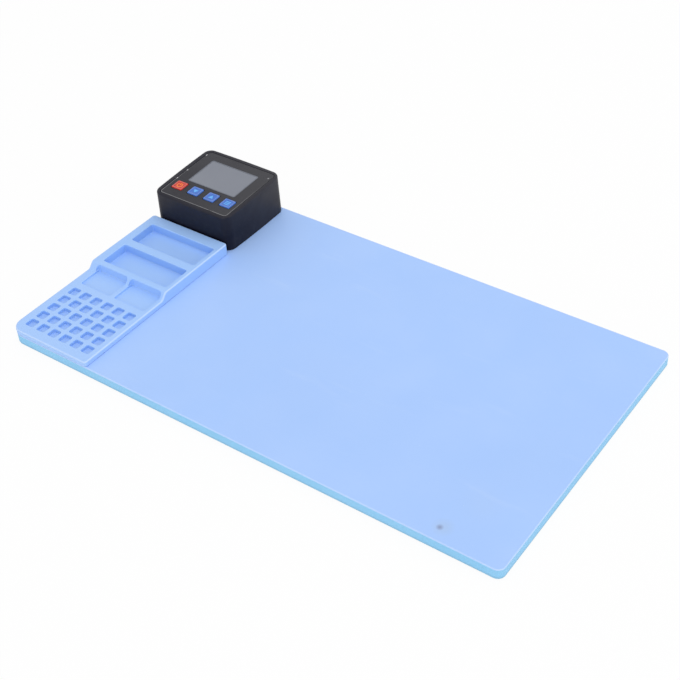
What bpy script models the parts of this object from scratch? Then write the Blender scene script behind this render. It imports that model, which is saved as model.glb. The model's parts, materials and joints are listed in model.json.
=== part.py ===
"""LCD separator heating pad: a laminated silicone heating mat with a moulded parts tray and a control box.

Metres, +Z up. The origin is the middle of the mat's underside. +X runs along the mat, away from the control
box and the tray, and the user stands at -Y. Run it with blender --background --python part.py, or from
Blender's text editor.
"""

import math

import bmesh
import bpy
from mathutils import Vector
from mathutils.geometry import interpolate_bezier

# Clearance between pieces that rest on each other, and a cutter's run past the face that it leaves
SEAT_GAP = 0.0003
OVERCUT = 0.002

# The laminated mat, whose width is that of the tray and the box one behind the other
MAT_LENGTH = 0.375
MAT_CORNER_RADIUS = 0.005
MAT_TRAY_CORNER_RADIUS = 0.009
BASE_SHEET_THICKNESS = 0.0027
EDGE_FRAME_THICKNESS = 0.0027
TOP_SHEET_THICKNESS = 0.0018
MAT_EDGE_ROUND = 0.0006

# The heater inside the mat
HEATER_BORDER = 0.010
TRAY_TO_HEATER = 0.0085
INSULATION_THICKNESS = 0.0007
TRACK_THICKNESS = 0.0003
TRACK_WIDTH = 0.006
TRACK_SPACING = 0.003
TRACK_BORDER = 0.003
HEATER_LEAD_RADIUS = 0.0008
SENSOR_LEAD_RADIUS = 0.00035
SENSOR_SIZE = (0.009, 0.005, 0.0007)
SENSOR_REACH = 0.045
CUTOUT_SIZE = (0.011, 0.0042, 0.0020)

# The parts tray, a little narrower than the box. Its length is the sum of what it holds
TRAY_SET_BACK = 0.0011
TRAY_TO_BOX = 0.0007
TRAY_LOW_HEIGHT = 0.0036
TRAY_HIGH_HEIGHT = 0.0082
TRAY_FLOOR_HEIGHT = 0.0018
TRAY_STEP_BEFORE_WALL = 0.0047
TRAY_STEP_RUN = 0.0060
TRAY_EDGE_ROUND = 0.0011
TRAY_LEFT_RIM = 0.0071
TRAY_RIGHT_RIM = 0.0037
LONG_BIN_LENGTH = 0.0222
LONG_BIN_RIB = 0.0068
TRAY_BACK_RIM = 0.0098
SQUARE_BIN_LENGTH = 0.0188
SQUARE_BIN_DIVIDER = 0.0038
HIGH_RIB = 0.0046
BIN_CORNER_RADIUS = 0.0016
RIM_ROUND = 0.0006
CELL_COLUMNS = 6
CELL_ROWS = 5
CELL_SIZE = 0.0060
CELL_CORNER_RADIUS = 0.0007
CELL_DEPTH = 0.0028
CELL_SIDE_MARGIN = 0.00065
CELL_PITCH_Y = 0.0099
CELL_FRONT_MARGIN = 0.0077
CELLS_TO_BINS = 0.0066

# The control box housing
BOX_WIDTH = 0.0697
BOX_LENGTH = 0.0648
BOX_LEFT_MARGIN = 0.0005
BOX_BACK_MARGIN = 0.0002
BOX_FRONT_HEIGHT = 0.0284
BOX_BACK_HEIGHT = 0.0308
BOX_CORNER_RADIUS = 0.0065
BOX_TOP_ROUND = 0.0016
BOX_DRAFT = 0.0004
BOX_SIDE_CROWN = 0.0006
WALL = 0.0022
ROOF = 0.0026
PLATE_THICKNESS = 0.0020
POST_INSET = 0.0072
POST_RADIUS = 0.0032
POST_HOLE_RADIUS = 0.0015
SCREW_RADIUS = 0.0012
SCREW_HEAD_RADIUS = 0.0027
SCREW_HEAD_HEIGHT = 0.0009
SCREW_LENGTH = 0.014

# The panel on the sloping roof: heights there are measured along the panel's own normal
PANEL_SHIFT_X = 0.0009
PANEL_SHIFT_Y = -0.0007
OVERLAY_SIDE_MARGIN = 0.00395
OVERLAY_END_MARGIN = 0.0036
OVERLAY_THICKNESS = 0.0005
OVERLAY_RECESS = 0.0010
OVERLAY_CORNER = 0.003
DISPLAY_SIDE_MARGIN = 0.0101
DISPLAY_BACK_MARGIN = 0.0085
DISPLAY_FRAME = 0.0017
DISPLAY_THICKNESS = 0.0032
KEY_WIDTH = 0.0094
KEY_LENGTH = 0.0090
KEY_SIDE_MARGIN = 0.00395
KEY_FRONT_MARGIN = 0.0085
KEY_TO_DISPLAY = 0.0043
KEY_PROUD = 0.00035
KEY_TRAVEL = 0.0005
KEY_CLEARANCE = 0.00035
KEY_FLANGE = 0.0008
KEY_FLANGE_THICKNESS = 0.0010
KEY_CORNER_RADIUS = 0.0010
KEY_EDGE_ROUND = 0.0005
OPENING_CORNER = 0.0009
SWITCH_SIZE = 0.0060
PLUNGER_RADIUS = 0.0016
PLUNGER_HEIGHT = 0.0003

# Boards and what they carry
BOARD_THICKNESS = 0.0016
BOARD_SIDE_GAP = 0.0012
BOARD_MARGIN = 0.0012
STANDOFF_INSET = 0.0035
BOARD_BOSS_RADIUS = 0.0024
BOARD_BOSS_TO_DISPLAY = 0.0014
BOARD_SCREW_RADIUS = 0.0009
BOARD_SCREW_HEAD_RADIUS = 0.0019
BOARD_SCREW_HEAD_HEIGHT = 0.0013
STANDOFF_HEIGHT = 0.0024
STANDOFF_RADIUS = 0.0024
STANDOFF_PIN_RADIUS = 0.0010
CHIP_SIZE = (0.010, 0.010, 0.0012)
BUZZER_RADIUS = 0.0045
BUZZER_HEIGHT = 0.0040
TRANSFORMER_SHARE = 0.30
TRANSFORMER_HEIGHT = 0.0090
HEATSINK_SHARE = 0.245
HEATSINK_HEIGHT = 0.0092
HEATSINK_FINS = 5
TRIAC_SHARE = 0.16
TRIAC_THICKNESS = 0.0030
TRIAC_HEIGHT = 0.0088
FUSE_RADIUS = 0.0025
FUSE_LENGTH = 0.0200
FUSE_HOLDER_LENGTH = 0.0220
FUSE_HOLDER_WIDTH = 0.0066
FUSE_HOLDER_BASE = 0.0018
FUSE_CLIP_LENGTH = 0.0045
CAPACITOR_SHARE = 0.065
CAPACITOR_HEIGHT = 0.0090
WIRE_LANDING = 0.0054
TERMINAL_PITCH = 0.0045
TERMINAL_DEPTH = 0.0075
TERMINAL_HEIGHT = 0.0078
RIBBON_WIDTH = 0.0100
RIBBON_THICKNESS = 0.0006

# The mains inlet, whose socket has a standard size
INLET_SHIFT_X = -0.0055
SOCKET_WIDTH = 0.0240
SOCKET_HEIGHT = 0.0164
SOCKET_DEPTH = 0.0165
SOCKET_WALL = 0.0015
INLET_BACK_WALL = 0.0014
INLET_FLANGE = 0.0018
INLET_FLANGE_THICKNESS = 0.0016
PIN_SPACING = 0.0070
PIN_OFFSET = 0.0020
PIN_THICKNESS = 0.0020
PIN_HEIGHT = 0.0040
PIN_TIP_DEPTH = 0.0015
PIN_TAIL = 0.0055
PIN_WIRE_RADIUS = 0.0009
SOCKET_CHAMFER = 0.0050

# The way for the leads from the mat up into the box. Lanes are counted from the channel's middle
LEAD_CHANNEL_WIDTH = 0.014
LEAD_HOLE_LENGTH = 0.013
LEAD_HOLE_WIDTH = 0.0070
LEAD_HOLE_FROM_RIGHT = 0.0160
LIVE_LANE = 0.0044
SENSOR_LANE = 0.0009
RETURN_LANE = -0.0050
ENTRY_RADIUS = 0.0013
ENTRY_DEPTH = 0.0030

CORNER_STEPS = 6
CROWN_STEPS = 6
ROUND_STEPS = 20

# Colours are linear, then roughness and metallic
FINISHES = {
    "cyan_silicone": ((0.30, 0.60, 0.88), 0.55, 0.0),
    "periwinkle_silicone": ((0.42, 0.61, 0.97), 0.55, 0.0),
    "black_plastic": ((0.013, 0.014, 0.022), 0.45, 0.0),
    "panel_film": ((0.055, 0.055, 0.065), 0.40, 0.0),
    "display_pane": ((0.24, 0.26, 0.31), 0.20, 0.0),
    "display_body": ((0.20, 0.22, 0.25), 0.35, 0.0),
    "red_key": ((0.76, 0.08, 0.07), 0.45, 0.0),
    "blue_key": ((0.045, 0.16, 0.60), 0.45, 0.0),
    "circuit_board": ((0.02, 0.16, 0.07), 0.50, 0.0),
    "chip_black": ((0.02, 0.02, 0.02), 0.50, 0.0),
    "felt": ((0.75, 0.72, 0.64), 0.95, 0.0),
    "heater_foil": ((0.60, 0.50, 0.38), 0.35, 0.9),
    "aluminium": ((0.75, 0.75, 0.77), 0.35, 1.0),
    "brass": ((0.70, 0.52, 0.22), 0.30, 1.0),
    "steel": ((0.55, 0.55, 0.57), 0.35, 1.0),
    "red_wire": ((0.60, 0.03, 0.03), 0.50, 0.0),
    "blue_wire": ((0.03, 0.10, 0.55), 0.50, 0.0),
    "green_wire": ((0.10, 0.42, 0.06), 0.50, 0.0),
    "white_wire": ((0.80, 0.80, 0.78), 0.50, 0.0),
    "terminal_green": ((0.03, 0.28, 0.09), 0.45, 0.0),
    "ferrite": ((0.06, 0.06, 0.07), 0.60, 0.0),
    "capacitor_sleeve": ((0.03, 0.05, 0.16), 0.40, 0.0),
    "glass_tube": ((0.70, 0.75, 0.75), 0.15, 0.0),
}

# Levels, upwards from the underside of the mat
FRAME_BOTTOM = BASE_SHEET_THICKNESS + SEAT_GAP
FRAME_TOP = FRAME_BOTTOM + EDGE_FRAME_THICKNESS
SHEET_BOTTOM = FRAME_TOP + SEAT_GAP
MAT_TOP = SHEET_BOTTOM + TOP_SHEET_THICKNESS
ON_MAT = MAT_TOP + SEAT_GAP
BIN_FLOOR = ON_MAT + TRAY_FLOOR_HEIGHT
PLATE_TOP = ON_MAT + PLATE_THICKNESS
POST_BOTTOM = PLATE_TOP + SEAT_GAP

# Sizes that follow from the others
TRAY_WIDTH = BOX_LEFT_MARGIN + BOX_WIDTH - TRAY_SET_BACK
TRAY_BIN_SPAN = TRAY_WIDTH - TRAY_LEFT_RIM - TRAY_RIGHT_RIM
CELL_PITCH_X = (TRAY_BIN_SPAN - 2 * CELL_SIDE_MARGIN - CELL_SIZE) / (CELL_COLUMNS - 1)
CELLS_LENGTH = CELL_FRONT_MARGIN + (CELL_ROWS - 1) * CELL_PITCH_Y + CELL_SIZE
SQUARE_BINS_END = CELLS_LENGTH + CELLS_TO_BINS + SQUARE_BIN_LENGTH
TRAY_STEP_START = SQUARE_BINS_END - TRAY_STEP_BEFORE_WALL
TRAY_LENGTH = SQUARE_BINS_END + HIGH_RIB + 2 * LONG_BIN_LENGTH + LONG_BIN_RIB + TRAY_BACK_RIM
MAT_WIDTH = TRAY_LENGTH + TRAY_TO_BOX + BOX_LENGTH + BOX_BACK_MARGIN
OVERLAY_WIDTH = BOX_WIDTH - 2 * OVERLAY_SIDE_MARGIN
OVERLAY_LENGTH = BOX_LENGTH - 2 * OVERLAY_END_MARGIN
DISPLAY_WIDTH = OVERLAY_WIDTH - 2 * DISPLAY_SIDE_MARGIN
DISPLAY_LENGTH = OVERLAY_LENGTH - KEY_FRONT_MARGIN - KEY_LENGTH - KEY_TO_DISPLAY - DISPLAY_BACK_MARGIN
KEY_PITCH = (OVERLAY_WIDTH - 2 * KEY_SIDE_MARGIN - KEY_WIDTH) / 3

# Plan of the mat, the heater and the tray
MAT_LEFT = -MAT_LENGTH / 2
MAT_RIGHT = MAT_LENGTH / 2
MAT_FRONT = -MAT_WIDTH / 2
MAT_BACK = MAT_WIDTH / 2
TRAY_RIGHT = MAT_LEFT + TRAY_WIDTH
TRAY_BACK = MAT_FRONT + TRAY_LENGTH
HEATER_LEFT = TRAY_RIGHT + TRAY_TO_HEATER
HEATER_RIGHT = MAT_RIGHT - HEATER_BORDER
HEATER_FRONT = MAT_FRONT + HEATER_BORDER
HEATER_BACK = MAT_BACK - HEATER_BORDER

# Plan of the box
BOX_LEFT = MAT_LEFT + BOX_LEFT_MARGIN
BOX_RIGHT = BOX_LEFT + BOX_WIDTH
BOX_BACK = MAT_BACK - BOX_BACK_MARGIN
BOX_FRONT = BOX_BACK - BOX_LENGTH
BOX_X = (BOX_LEFT + BOX_RIGHT) / 2
BOX_Y = (BOX_FRONT + BOX_BACK) / 2
ROOF_SLOPE = (BOX_BACK_HEIGHT - BOX_FRONT_HEIGHT) / BOX_LENGTH
LEAD_X = BOX_RIGHT - LEAD_HOLE_FROM_RIGHT
LEAD_Y = HEATER_BACK - TRACK_BORDER - TRACK_WIDTH - TRACK_SPACING / 2
SENSOR_X = HEATER_LEFT + SENSOR_REACH

# The panel's frame
PANEL_X = BOX_X + PANEL_SHIFT_X
PANEL_Y = BOX_Y + PANEL_SHIFT_Y
PANEL_TILT = math.atan(ROOF_SLOPE)
KEY_V = -OVERLAY_LENGTH / 2 + KEY_FRONT_MARGIN + KEY_LENGTH / 2
DISPLAY_V = KEY_V + KEY_LENGTH / 2 + KEY_TO_DISPLAY + DISPLAY_LENGTH / 2
UNDER_ROOF = -ROOF - SEAT_GAP
FLANGE_BOTTOM = UNDER_ROOF - KEY_FLANGE_THICKNESS
PLUNGER_TOP = FLANGE_BOTTOM - KEY_TRAVEL - SEAT_GAP
BOARD_TOP = UNDER_ROOF - DISPLAY_THICKNESS - SEAT_GAP
BOARD_BOTTOM = BOARD_TOP - BOARD_THICKNESS

# The inlet, low in the back wall
INLET_X = BOX_X + INLET_SHIFT_X
INLET_BODY_WIDTH = SOCKET_WIDTH + 2 * SOCKET_WALL
INLET_BODY_HEIGHT = SOCKET_HEIGHT + 2 * SOCKET_WALL
INLET_BODY_DEPTH = SOCKET_DEPTH + INLET_BACK_WALL
INLET_Z = PLATE_TOP + SEAT_GAP + INLET_BODY_HEIGHT / 2
INLET_FACE = BOX_BACK - 0.5 * SEAT_GAP
INLET_INNER = INLET_FACE - INLET_BODY_DEPTH
INLET_RECESS = INLET_FACE - INLET_FLANGE_THICKNESS - SEAT_GAP
INLET_PAD_WIDTH = INLET_BODY_WIDTH + 2 * (INLET_FLANGE + WALL)
INLET_FLANGE_HALF_HEIGHT = INLET_BODY_HEIGHT / 2 + 0.7 * INLET_FLANGE
PIN_TAIL_END = INLET_INNER - PIN_TAIL

# Boards: the control board hangs from the roof, the power board stands on the bottom plate
POST_X = (BOX_LEFT + POST_INSET, BOX_RIGHT - POST_INSET)
POST_Y = (BOX_FRONT + POST_INSET, BOX_BACK - POST_INSET)
BOARD_LEFT = BOX_LEFT + BOX_DRAFT + WALL + BOARD_SIDE_GAP
BOARD_RIGHT = BOX_RIGHT - BOX_DRAFT - WALL - BOARD_SIDE_GAP
BOARD_FRONT = POST_Y[0] + POST_RADIUS + SEAT_GAP + BOARD_SIDE_GAP / 2
CONTROL_BOARD_BACK = INLET_INNER - BOARD_SIDE_GAP
POWER_BOARD_BACK = min(PIN_TAIL_END - SEAT_GAP, LEAD_Y - LEAD_HOLE_WIDTH / 2)
POWER_BOARD_BOTTOM = PLATE_TOP + STANDOFF_HEIGHT + SEAT_GAP
POWER_BOARD_TOP = POWER_BOARD_BOTTOM + BOARD_THICKNESS
ON_POWER_BOARD = POWER_BOARD_TOP + SEAT_GAP
BOSS_U = DISPLAY_WIDTH / 2 + DISPLAY_FRAME + BOARD_BOSS_TO_DISPLAY + BOARD_BOSS_RADIUS
BOSS_V = (
    KEY_V + KEY_LENGTH / 2 + KEY_FLANGE + BOARD_BOSS_RADIUS + BOARD_MARGIN,
    CONTROL_BOARD_BACK - PANEL_Y - BOARD_BOSS_RADIUS - BOARD_MARGIN,
)
TERMINAL_WIDTH = 4 * TERMINAL_PITCH
TERMINAL_X = BOARD_RIGHT - TERMINAL_WIDTH / 2 - BOARD_MARGIN
TERMINAL_BACK = POWER_BOARD_BACK - BOARD_MARGIN
TERMINAL_ENTRY_Z = ON_POWER_BOARD + 0.4 * TERMINAL_HEIGHT

# Places of the parts on the power board, whose sizes are shares of its width or fill the room in front
BOARD_WIDTH = BOARD_RIGHT - BOARD_LEFT
RIBBON_X = BOARD_LEFT + BOARD_MARGIN + RIBBON_THICKNESS
FUSE_Y = POWER_BOARD_BACK - WIRE_LANDING - FUSE_HOLDER_WIDTH / 2
ROOM_FRONT = BOARD_FRONT + BOARD_MARGIN
ROOM_BACK = FUSE_Y - FUSE_HOLDER_WIDTH / 2 - BOARD_MARGIN
TRANSFORMER_WIDTH = TRANSFORMER_SHARE * BOARD_WIDTH
TRANSFORMER_X = RIBBON_X + 2 * BOARD_MARGIN + TRANSFORMER_WIDTH / 2
HEATSINK_WIDTH = HEATSINK_SHARE * BOARD_WIDTH
HEATSINK_X = TRANSFORMER_X + (TRANSFORMER_WIDTH + HEATSINK_WIDTH) / 2 + 2 * BOARD_MARGIN
HEATSINK_BACK = ROOM_BACK - TRIAC_THICKNESS - SEAT_GAP
FUSE_X = TRANSFORMER_X - TRANSFORMER_WIDTH / 2 + FUSE_HOLDER_LENGTH / 2
FUSE_Z = ON_POWER_BOARD + FUSE_HOLDER_BASE + SEAT_GAP + FUSE_RADIUS
CAPACITOR_RADIUS = CAPACITOR_SHARE * BOARD_WIDTH
CAPACITOR_Y = (ROOM_FRONT + TERMINAL_BACK - TERMINAL_DEPTH) / 2


def clear_scene():
    for obj in list(bpy.data.objects):
        bpy.data.objects.remove(obj, do_unlink=True)


def add_collection(name):
    collection = bpy.data.collections.new(name)
    bpy.context.scene.collection.children.link(collection)
    return collection


def add_finish(obj, finish):
    """Gives the object its own Principled material."""
    colour, roughness, metallic = FINISHES[finish]
    material = bpy.data.materials.new(obj.name + "_" + finish)
    material.use_nodes = True
    shader = material.node_tree.nodes["Principled BSDF"]
    shader.inputs["Base Color"].default_value = (*colour, 1.0)
    shader.inputs["Roughness"].default_value = roughness
    shader.inputs["Metallic"].default_value = metallic
    obj.data.materials.append(material)


def add_object(name, data, location, finish, parent=None):
    """Links a part to the object's collection, or a cutter, which has no finish, to the cutters' one."""
    obj = bpy.data.objects.new(name, data)
    obj.location = location
    obj.parent = parent
    if finish:
        parts.objects.link(obj)
        add_finish(obj, finish)
    else:
        cutters.objects.link(obj)
        obj.hide_render = True
        obj.display_type = "WIRE"
    return obj


def mesh_from(name, shape):
    mesh = bpy.data.meshes.new(name)
    shape.to_mesh(mesh)
    shape.free()
    return mesh


def round_edges(shape, edges, radius, steps):
    bmesh.ops.bevel(
        shape, geom=edges, offset=radius, offset_type="OFFSET", segments=steps, profile=0.5, affect="EDGES"
    )


def rim_edges(shape, level):
    """Edges whose two ends lie at this height."""
    return [edge for edge in shape.edges if all(abs(v.co.z - level) < 1e-6 for v in edge.verts)]


def uprights(shape, width, length, at_front_left):
    """The upright edges of a block's front left corner, or of its other three."""
    found = []
    for edge in shape.edges:
        a, b = (vert.co for vert in edge.verts)
        is_corner = abs(abs(a.x) - width / 2) < 1e-6 and abs(abs(a.y) - length / 2) < 1e-6
        if is_corner and (a - b).xy.length < 1e-6 and (a.x < 0 and a.y < 0) == at_front_left:
            found.append(edge)
    return found


def block(
    name, size, location, finish=None, parent=None, corner=0.0, top_round=0.0, bottom_round=0.0, front_left=None
):
    """A box about its own middle, with rounded plan corners and rounded upper and lower rims where asked."""
    shape = bmesh.new()
    bmesh.ops.create_cube(shape, size=1.0)
    bmesh.ops.scale(shape, vec=size, verts=shape.verts)
    half = size[2] / 2
    if corner:
        steps = CORNER_STEPS if corner > 0.003 else 3
        round_edges(shape, uprights(shape, size[0], size[1], False), corner, steps)
        round_edges(shape, uprights(shape, size[0], size[1], True), front_left or corner, steps)
    if top_round:
        round_edges(shape, rim_edges(shape, half), top_round, 2)
    if bottom_round:
        round_edges(shape, rim_edges(shape, -half), bottom_round, 2)
    return add_object(name, mesh_from(name, shape), location, finish, parent)


def span_block(name, low, high, finish=None, parent=None, **rounding):
    """A box given by its lowest and highest corners."""
    size = [b - a for a, b in zip(low, high)]
    middle = [(a + b) / 2 for a, b in zip(low, high)]
    return block(name, size, middle, finish, parent, **rounding)


def rod(name, radius, length, location, finish=None, parent=None, steps=ROUND_STEPS, axis="Z"):
    """A cylinder about its own middle."""
    shape = bmesh.new()
    bmesh.ops.create_cone(
        shape, cap_ends=True, segments=steps, radius1=radius, radius2=radius, depth=length
    )
    obj = add_object(name, mesh_from(name, shape), location, finish, parent)
    if axis == "X":
        obj.rotation_euler.y = math.pi / 2
    if axis == "Y":
        obj.rotation_euler.x = math.pi / 2
    return obj


def turned(name, profile, location, finish=None, parent=None, steps=ROUND_STEPS):
    """A solid of revolution about Z. The profile holds (radius, height), from the axis's top to its foot."""
    shape = bmesh.new()
    verts = [shape.verts.new((radius, 0.0, height)) for radius, height in profile]
    for upper, lower in zip(verts, verts[1:]):
        shape.edges.new((upper, lower))
    obj = add_object(name, mesh_from(name, shape), location, finish, parent)
    screw = obj.modifiers.new("turn", "SCREW")
    screw.steps = screw.render_steps = steps
    screw.use_merge_vertices = True
    screw.merge_threshold = 0.00001
    return obj


def boolean(obj, other, operation):
    step = obj.modifiers.new(operation.lower() + "_" + other.name, "BOOLEAN")
    step.operation = operation
    step.solver = "EXACT"
    step.object = other


def cut(obj, *others):
    for other in others:
        boolean(obj, other, "DIFFERENCE")


def join(obj, *others):
    for other in others:
        boolean(obj, other, "UNION")


def prism(name, outline, depth, location, finish=None, parent=None):
    """A plate of this outline, in the plane of X and Y about its own middle."""
    shape = bmesh.new()
    face = shape.faces.new([shape.verts.new((x, y, -depth / 2)) for x, y in outline])
    grown = bmesh.ops.extrude_face_region(shape, geom=[face])
    moved = [item for item in grown["geom"] if isinstance(item, bmesh.types.BMVert)]
    bmesh.ops.translate(shape, vec=(0.0, 0.0, depth), verts=moved)
    bmesh.ops.recalc_face_normals(shape, faces=shape.faces)
    return add_object(name, mesh_from(name, shape), location, finish, parent)


def stacked(name, rings, location, finish=None, parent=None):
    """A closed skin through rings of the same number of points, from the lowest to the highest."""
    shape = bmesh.new()
    loops = [[shape.verts.new((x, y, z)) for x, y, z in ring] for ring in rings]
    for lower, upper in zip(loops, loops[1:]):
        for index, vert in enumerate(lower):
            after = (index + 1) % len(lower)
            shape.faces.new((vert, lower[after], upper[after], upper[index]))
    shape.faces.new(loops[0][::-1])
    shape.faces.new(loops[-1])
    return add_object(name, mesh_from(name, shape), location, finish, parent)


def flat_outline(name, loops, thickness, location, finish=None, parent=None):
    """A plate cut from sheet: closed loops of plan points, the first one outside and the rest holes."""
    curve = bpy.data.curves.new(name, "CURVE")
    curve.dimensions = "2D"
    curve.fill_mode = "BOTH"
    curve.extrude = thickness / 2
    for points in loops:
        spline = curve.splines.new("POLY")
        spline.points.add(len(points) - 1)
        for slot, (x, y) in zip(spline.points, points):
            slot.co = (x, y, 0.0, 1.0)
        spline.use_cyclic_u = True
    return add_object(name, curve, location, finish, parent)


def rounded_rectangle(low, high, corner, steps=CORNER_STEPS, front_left=None):
    """Plan points, anticlockwise, of a rectangle with round corners."""
    points = []
    turns = ((high[0], high[1], 0), (low[0], high[1], 1), (low[0], low[1], 2), (high[0], low[1], 3))
    for x, y, quarter in turns:
        radius = front_left if front_left and quarter == 2 else corner
        centre_x = x - radius if x == high[0] else x + radius
        centre_y = y - radius if y == high[1] else y + radius
        for step in range(steps + 1):
            angle = (quarter + step / steps) * math.pi / 2
            points.append((centre_x + radius * math.cos(angle), centre_y + radius * math.sin(angle)))
    return points


def strip_outline(centre_line, width):
    """The closed outline of a strip of this width along a line of straight runs."""
    points = [Vector(point) for point in centre_line]
    left, right = [], []
    for index, point in enumerate(points):
        before = (point - points[index - 1]).normalized() if index else None
        after = (points[index + 1] - point).normalized() if index + 1 < len(points) else None
        before, after = before or after, after or before
        across = Vector((-before.y - after.y, before.x + after.x))
        across *= width / across.length / math.cos(before.angle(after) / 2) / 2
        left.append(tuple(point + across))
        right.append(tuple(point - across))
    return right + left[::-1]


def wire(name, points, radius, finish):
    """A round wire: a smooth tube through the route's points."""
    route = [Vector(point) for point in points]
    pulls = []
    for index, point in enumerate(route):
        before = route[max(index - 1, 0)]
        after = route[min(index + 1, len(route) - 1)]
        pulls.append((after - before) / 6)
    smooth = []
    for index in range(len(route) - 1):
        start, end = route[index], route[index + 1]
        piece = interpolate_bezier(start, start + pulls[index], end - pulls[index + 1], end, 4)
        smooth += piece if index == 0 else piece[1:]
    curve = bpy.data.curves.new(name, "CURVE")
    curve.dimensions = "3D"
    curve.bevel_depth = radius
    curve.bevel_resolution = 2
    curve.use_fill_caps = True
    spline = curve.splines.new("POLY")
    spline.points.add(len(smooth) - 1)
    for slot, point in zip(spline.points, smooth):
        slot.co = (*point, 1.0)
    return add_object(name, curve, (0, 0, 0), finish)


def crowned_plan(width, length, radius, inset):
    """Plan points of the box: a rounded rectangle whose sides bow out a little towards their middles."""
    half_x = width / 2 - BOX_SIDE_CROWN
    half_y = length / 2 - BOX_SIDE_CROWN
    high = (half_x - inset, half_y - inset)
    square = rounded_rectangle((-high[0], -high[1]), high, max(radius - inset, KEY_CORNER_RADIUS))
    plan = []
    for index, (x, y) in enumerate(square):
        after_x, after_y = square[(index + 1) % len(square)]
        steps = CROWN_STEPS if math.hypot(after_x - x, after_y - y) > BOX_CORNER_RADIUS else 1
        for step in range(steps):
            at_x = x + (after_x - x) * step / steps
            at_y = y + (after_y - y) * step / steps
            bow_x = 1 + BOX_SIDE_CROWN / half_x * (1 - (at_y / half_y) ** 2)
            bow_y = 1 + BOX_SIDE_CROWN / half_y * (1 - (at_x / half_x) ** 2)
            plan.append((at_x * bow_x, at_y * bow_y))
    return plan


def roof_height(y, drop=0.0):
    """Height in the world of the roof's plane, drop below it, at a distance y behind the box's middle."""
    middle = MAT_TOP + (BOX_FRONT_HEIGHT + BOX_BACK_HEIGHT) / 2
    return middle + ROOF_SLOPE * y - drop


def box_loft(name, width, length, radius, foot, drop, top_round, finish=None):
    """A drafted solid of the box's plan, from foot up to a sloping top that lies drop below the roof's plane."""
    rings = [[(x, y, foot) for x, y in crowned_plan(width, length, radius, 0.0)]]
    steps = CORNER_STEPS // 2
    for step in range(steps + 1):
        angle = step / steps * math.pi / 2
        inset = BOX_DRAFT + top_round * (1 - math.cos(angle))
        sunk = drop + top_round * (1 - math.sin(angle))
        plan = crowned_plan(width, length, radius, inset)
        rings.append([(x, y, roof_height(y, sunk)) for x, y in plan])
    return stacked(name, rings, (BOX_X, BOX_Y, 0.0), finish)


def make_mat():
    """The silicone layers that the heater is bonded between."""
    span_block(
        "base_sheet",
        (MAT_LEFT, MAT_FRONT, 0.0),
        (MAT_RIGHT, MAT_BACK, BASE_SHEET_THICKNESS),
        "cyan_silicone",
        corner=MAT_CORNER_RADIUS,
        front_left=MAT_TRAY_CORNER_RADIUS,
        bottom_round=MAT_EDGE_ROUND,
    )
    plan = ((MAT_LEFT, MAT_FRONT), (MAT_RIGHT, MAT_BACK), MAT_CORNER_RADIUS)
    outer = rounded_rectangle(*plan, front_left=MAT_TRAY_CORNER_RADIUS)
    channel_low = LEAD_Y - LEAD_CHANNEL_WIDTH / 2
    channel_high = LEAD_Y + LEAD_CHANNEL_WIDTH / 2
    channel_left = LEAD_X - LEAD_HOLE_LENGTH / 2 - SEAT_GAP
    window = [
        (HEATER_LEFT, HEATER_FRONT),
        (HEATER_RIGHT, HEATER_FRONT),
        (HEATER_RIGHT, HEATER_BACK),
        (HEATER_LEFT, HEATER_BACK),
        (HEATER_LEFT, channel_high),
        (channel_left, channel_high),
        (channel_left, channel_low),
        (HEATER_LEFT, channel_low),
    ]
    middle = (FRAME_BOTTOM + FRAME_TOP) / 2
    flat_outline("edge_frame", [outer, window], EDGE_FRAME_THICKNESS, (0, 0, middle), "cyan_silicone")
    sheet = span_block(
        "top_sheet",
        (MAT_LEFT, MAT_FRONT, SHEET_BOTTOM),
        (MAT_RIGHT, MAT_BACK, MAT_TOP),
        "periwinkle_silicone",
        corner=MAT_CORNER_RADIUS,
        front_left=MAT_TRAY_CORNER_RADIUS,
        top_round=MAT_EDGE_ROUND,
    )
    cut(sheet, lead_hole("sheet_lead_hole", SHEET_BOTTOM, MAT_TOP))


def lead_hole(name, low, high):
    """The cutter of the slot that the leads rise through."""
    size = (LEAD_HOLE_LENGTH, LEAD_HOLE_WIDTH, high - low + 2 * OVERCUT)
    return block(name, size, (LEAD_X, LEAD_Y, (low + high) / 2), corner=0.002)


def make_heater():
    """Felt, etched track and spreader plate in the frame's window, with the sensor in a slit of the felt."""
    gap = SEAT_GAP
    felt_middle = FRAME_BOTTOM + INSULATION_THICKNESS / 2
    left, right = HEATER_LEFT + gap, HEATER_RIGHT - gap
    front, back = HEATER_FRONT + gap, HEATER_BACK - gap
    slit = SENSOR_SIZE[1] / 2 + gap
    slit_end = SENSOR_X + SENSOR_SIZE[0] / 2 + gap
    felt = [(left, front), (right, front), (right, back), (left, back), (left, LEAD_Y + slit)]
    felt += [(slit_end, LEAD_Y + slit), (slit_end, LEAD_Y - slit), (left, LEAD_Y - slit)]
    flat_outline("insulation_felt", [felt], INSULATION_THICKNESS, (0, 0, felt_middle), "felt")
    block("temperature_sensor", SENSOR_SIZE, (SENSOR_X, LEAD_Y, felt_middle), "chip_black", corner=0.0012)
    track_bottom = FRAME_BOTTOM + INSULATION_THICKNESS + gap
    track = strip_outline(track_route(), TRACK_WIDTH)
    middle = track_bottom + TRACK_THICKNESS / 2
    flat_outline("heater_track", [track], TRACK_THICKNESS, (0, 0, middle), "heater_foil")
    span_block(
        "heat_spreader",
        (left, front, track_bottom + TRACK_THICKNESS + gap),
        (right, back, FRAME_TOP),
        "aluminium",
        corner=0.002,
    )


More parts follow.
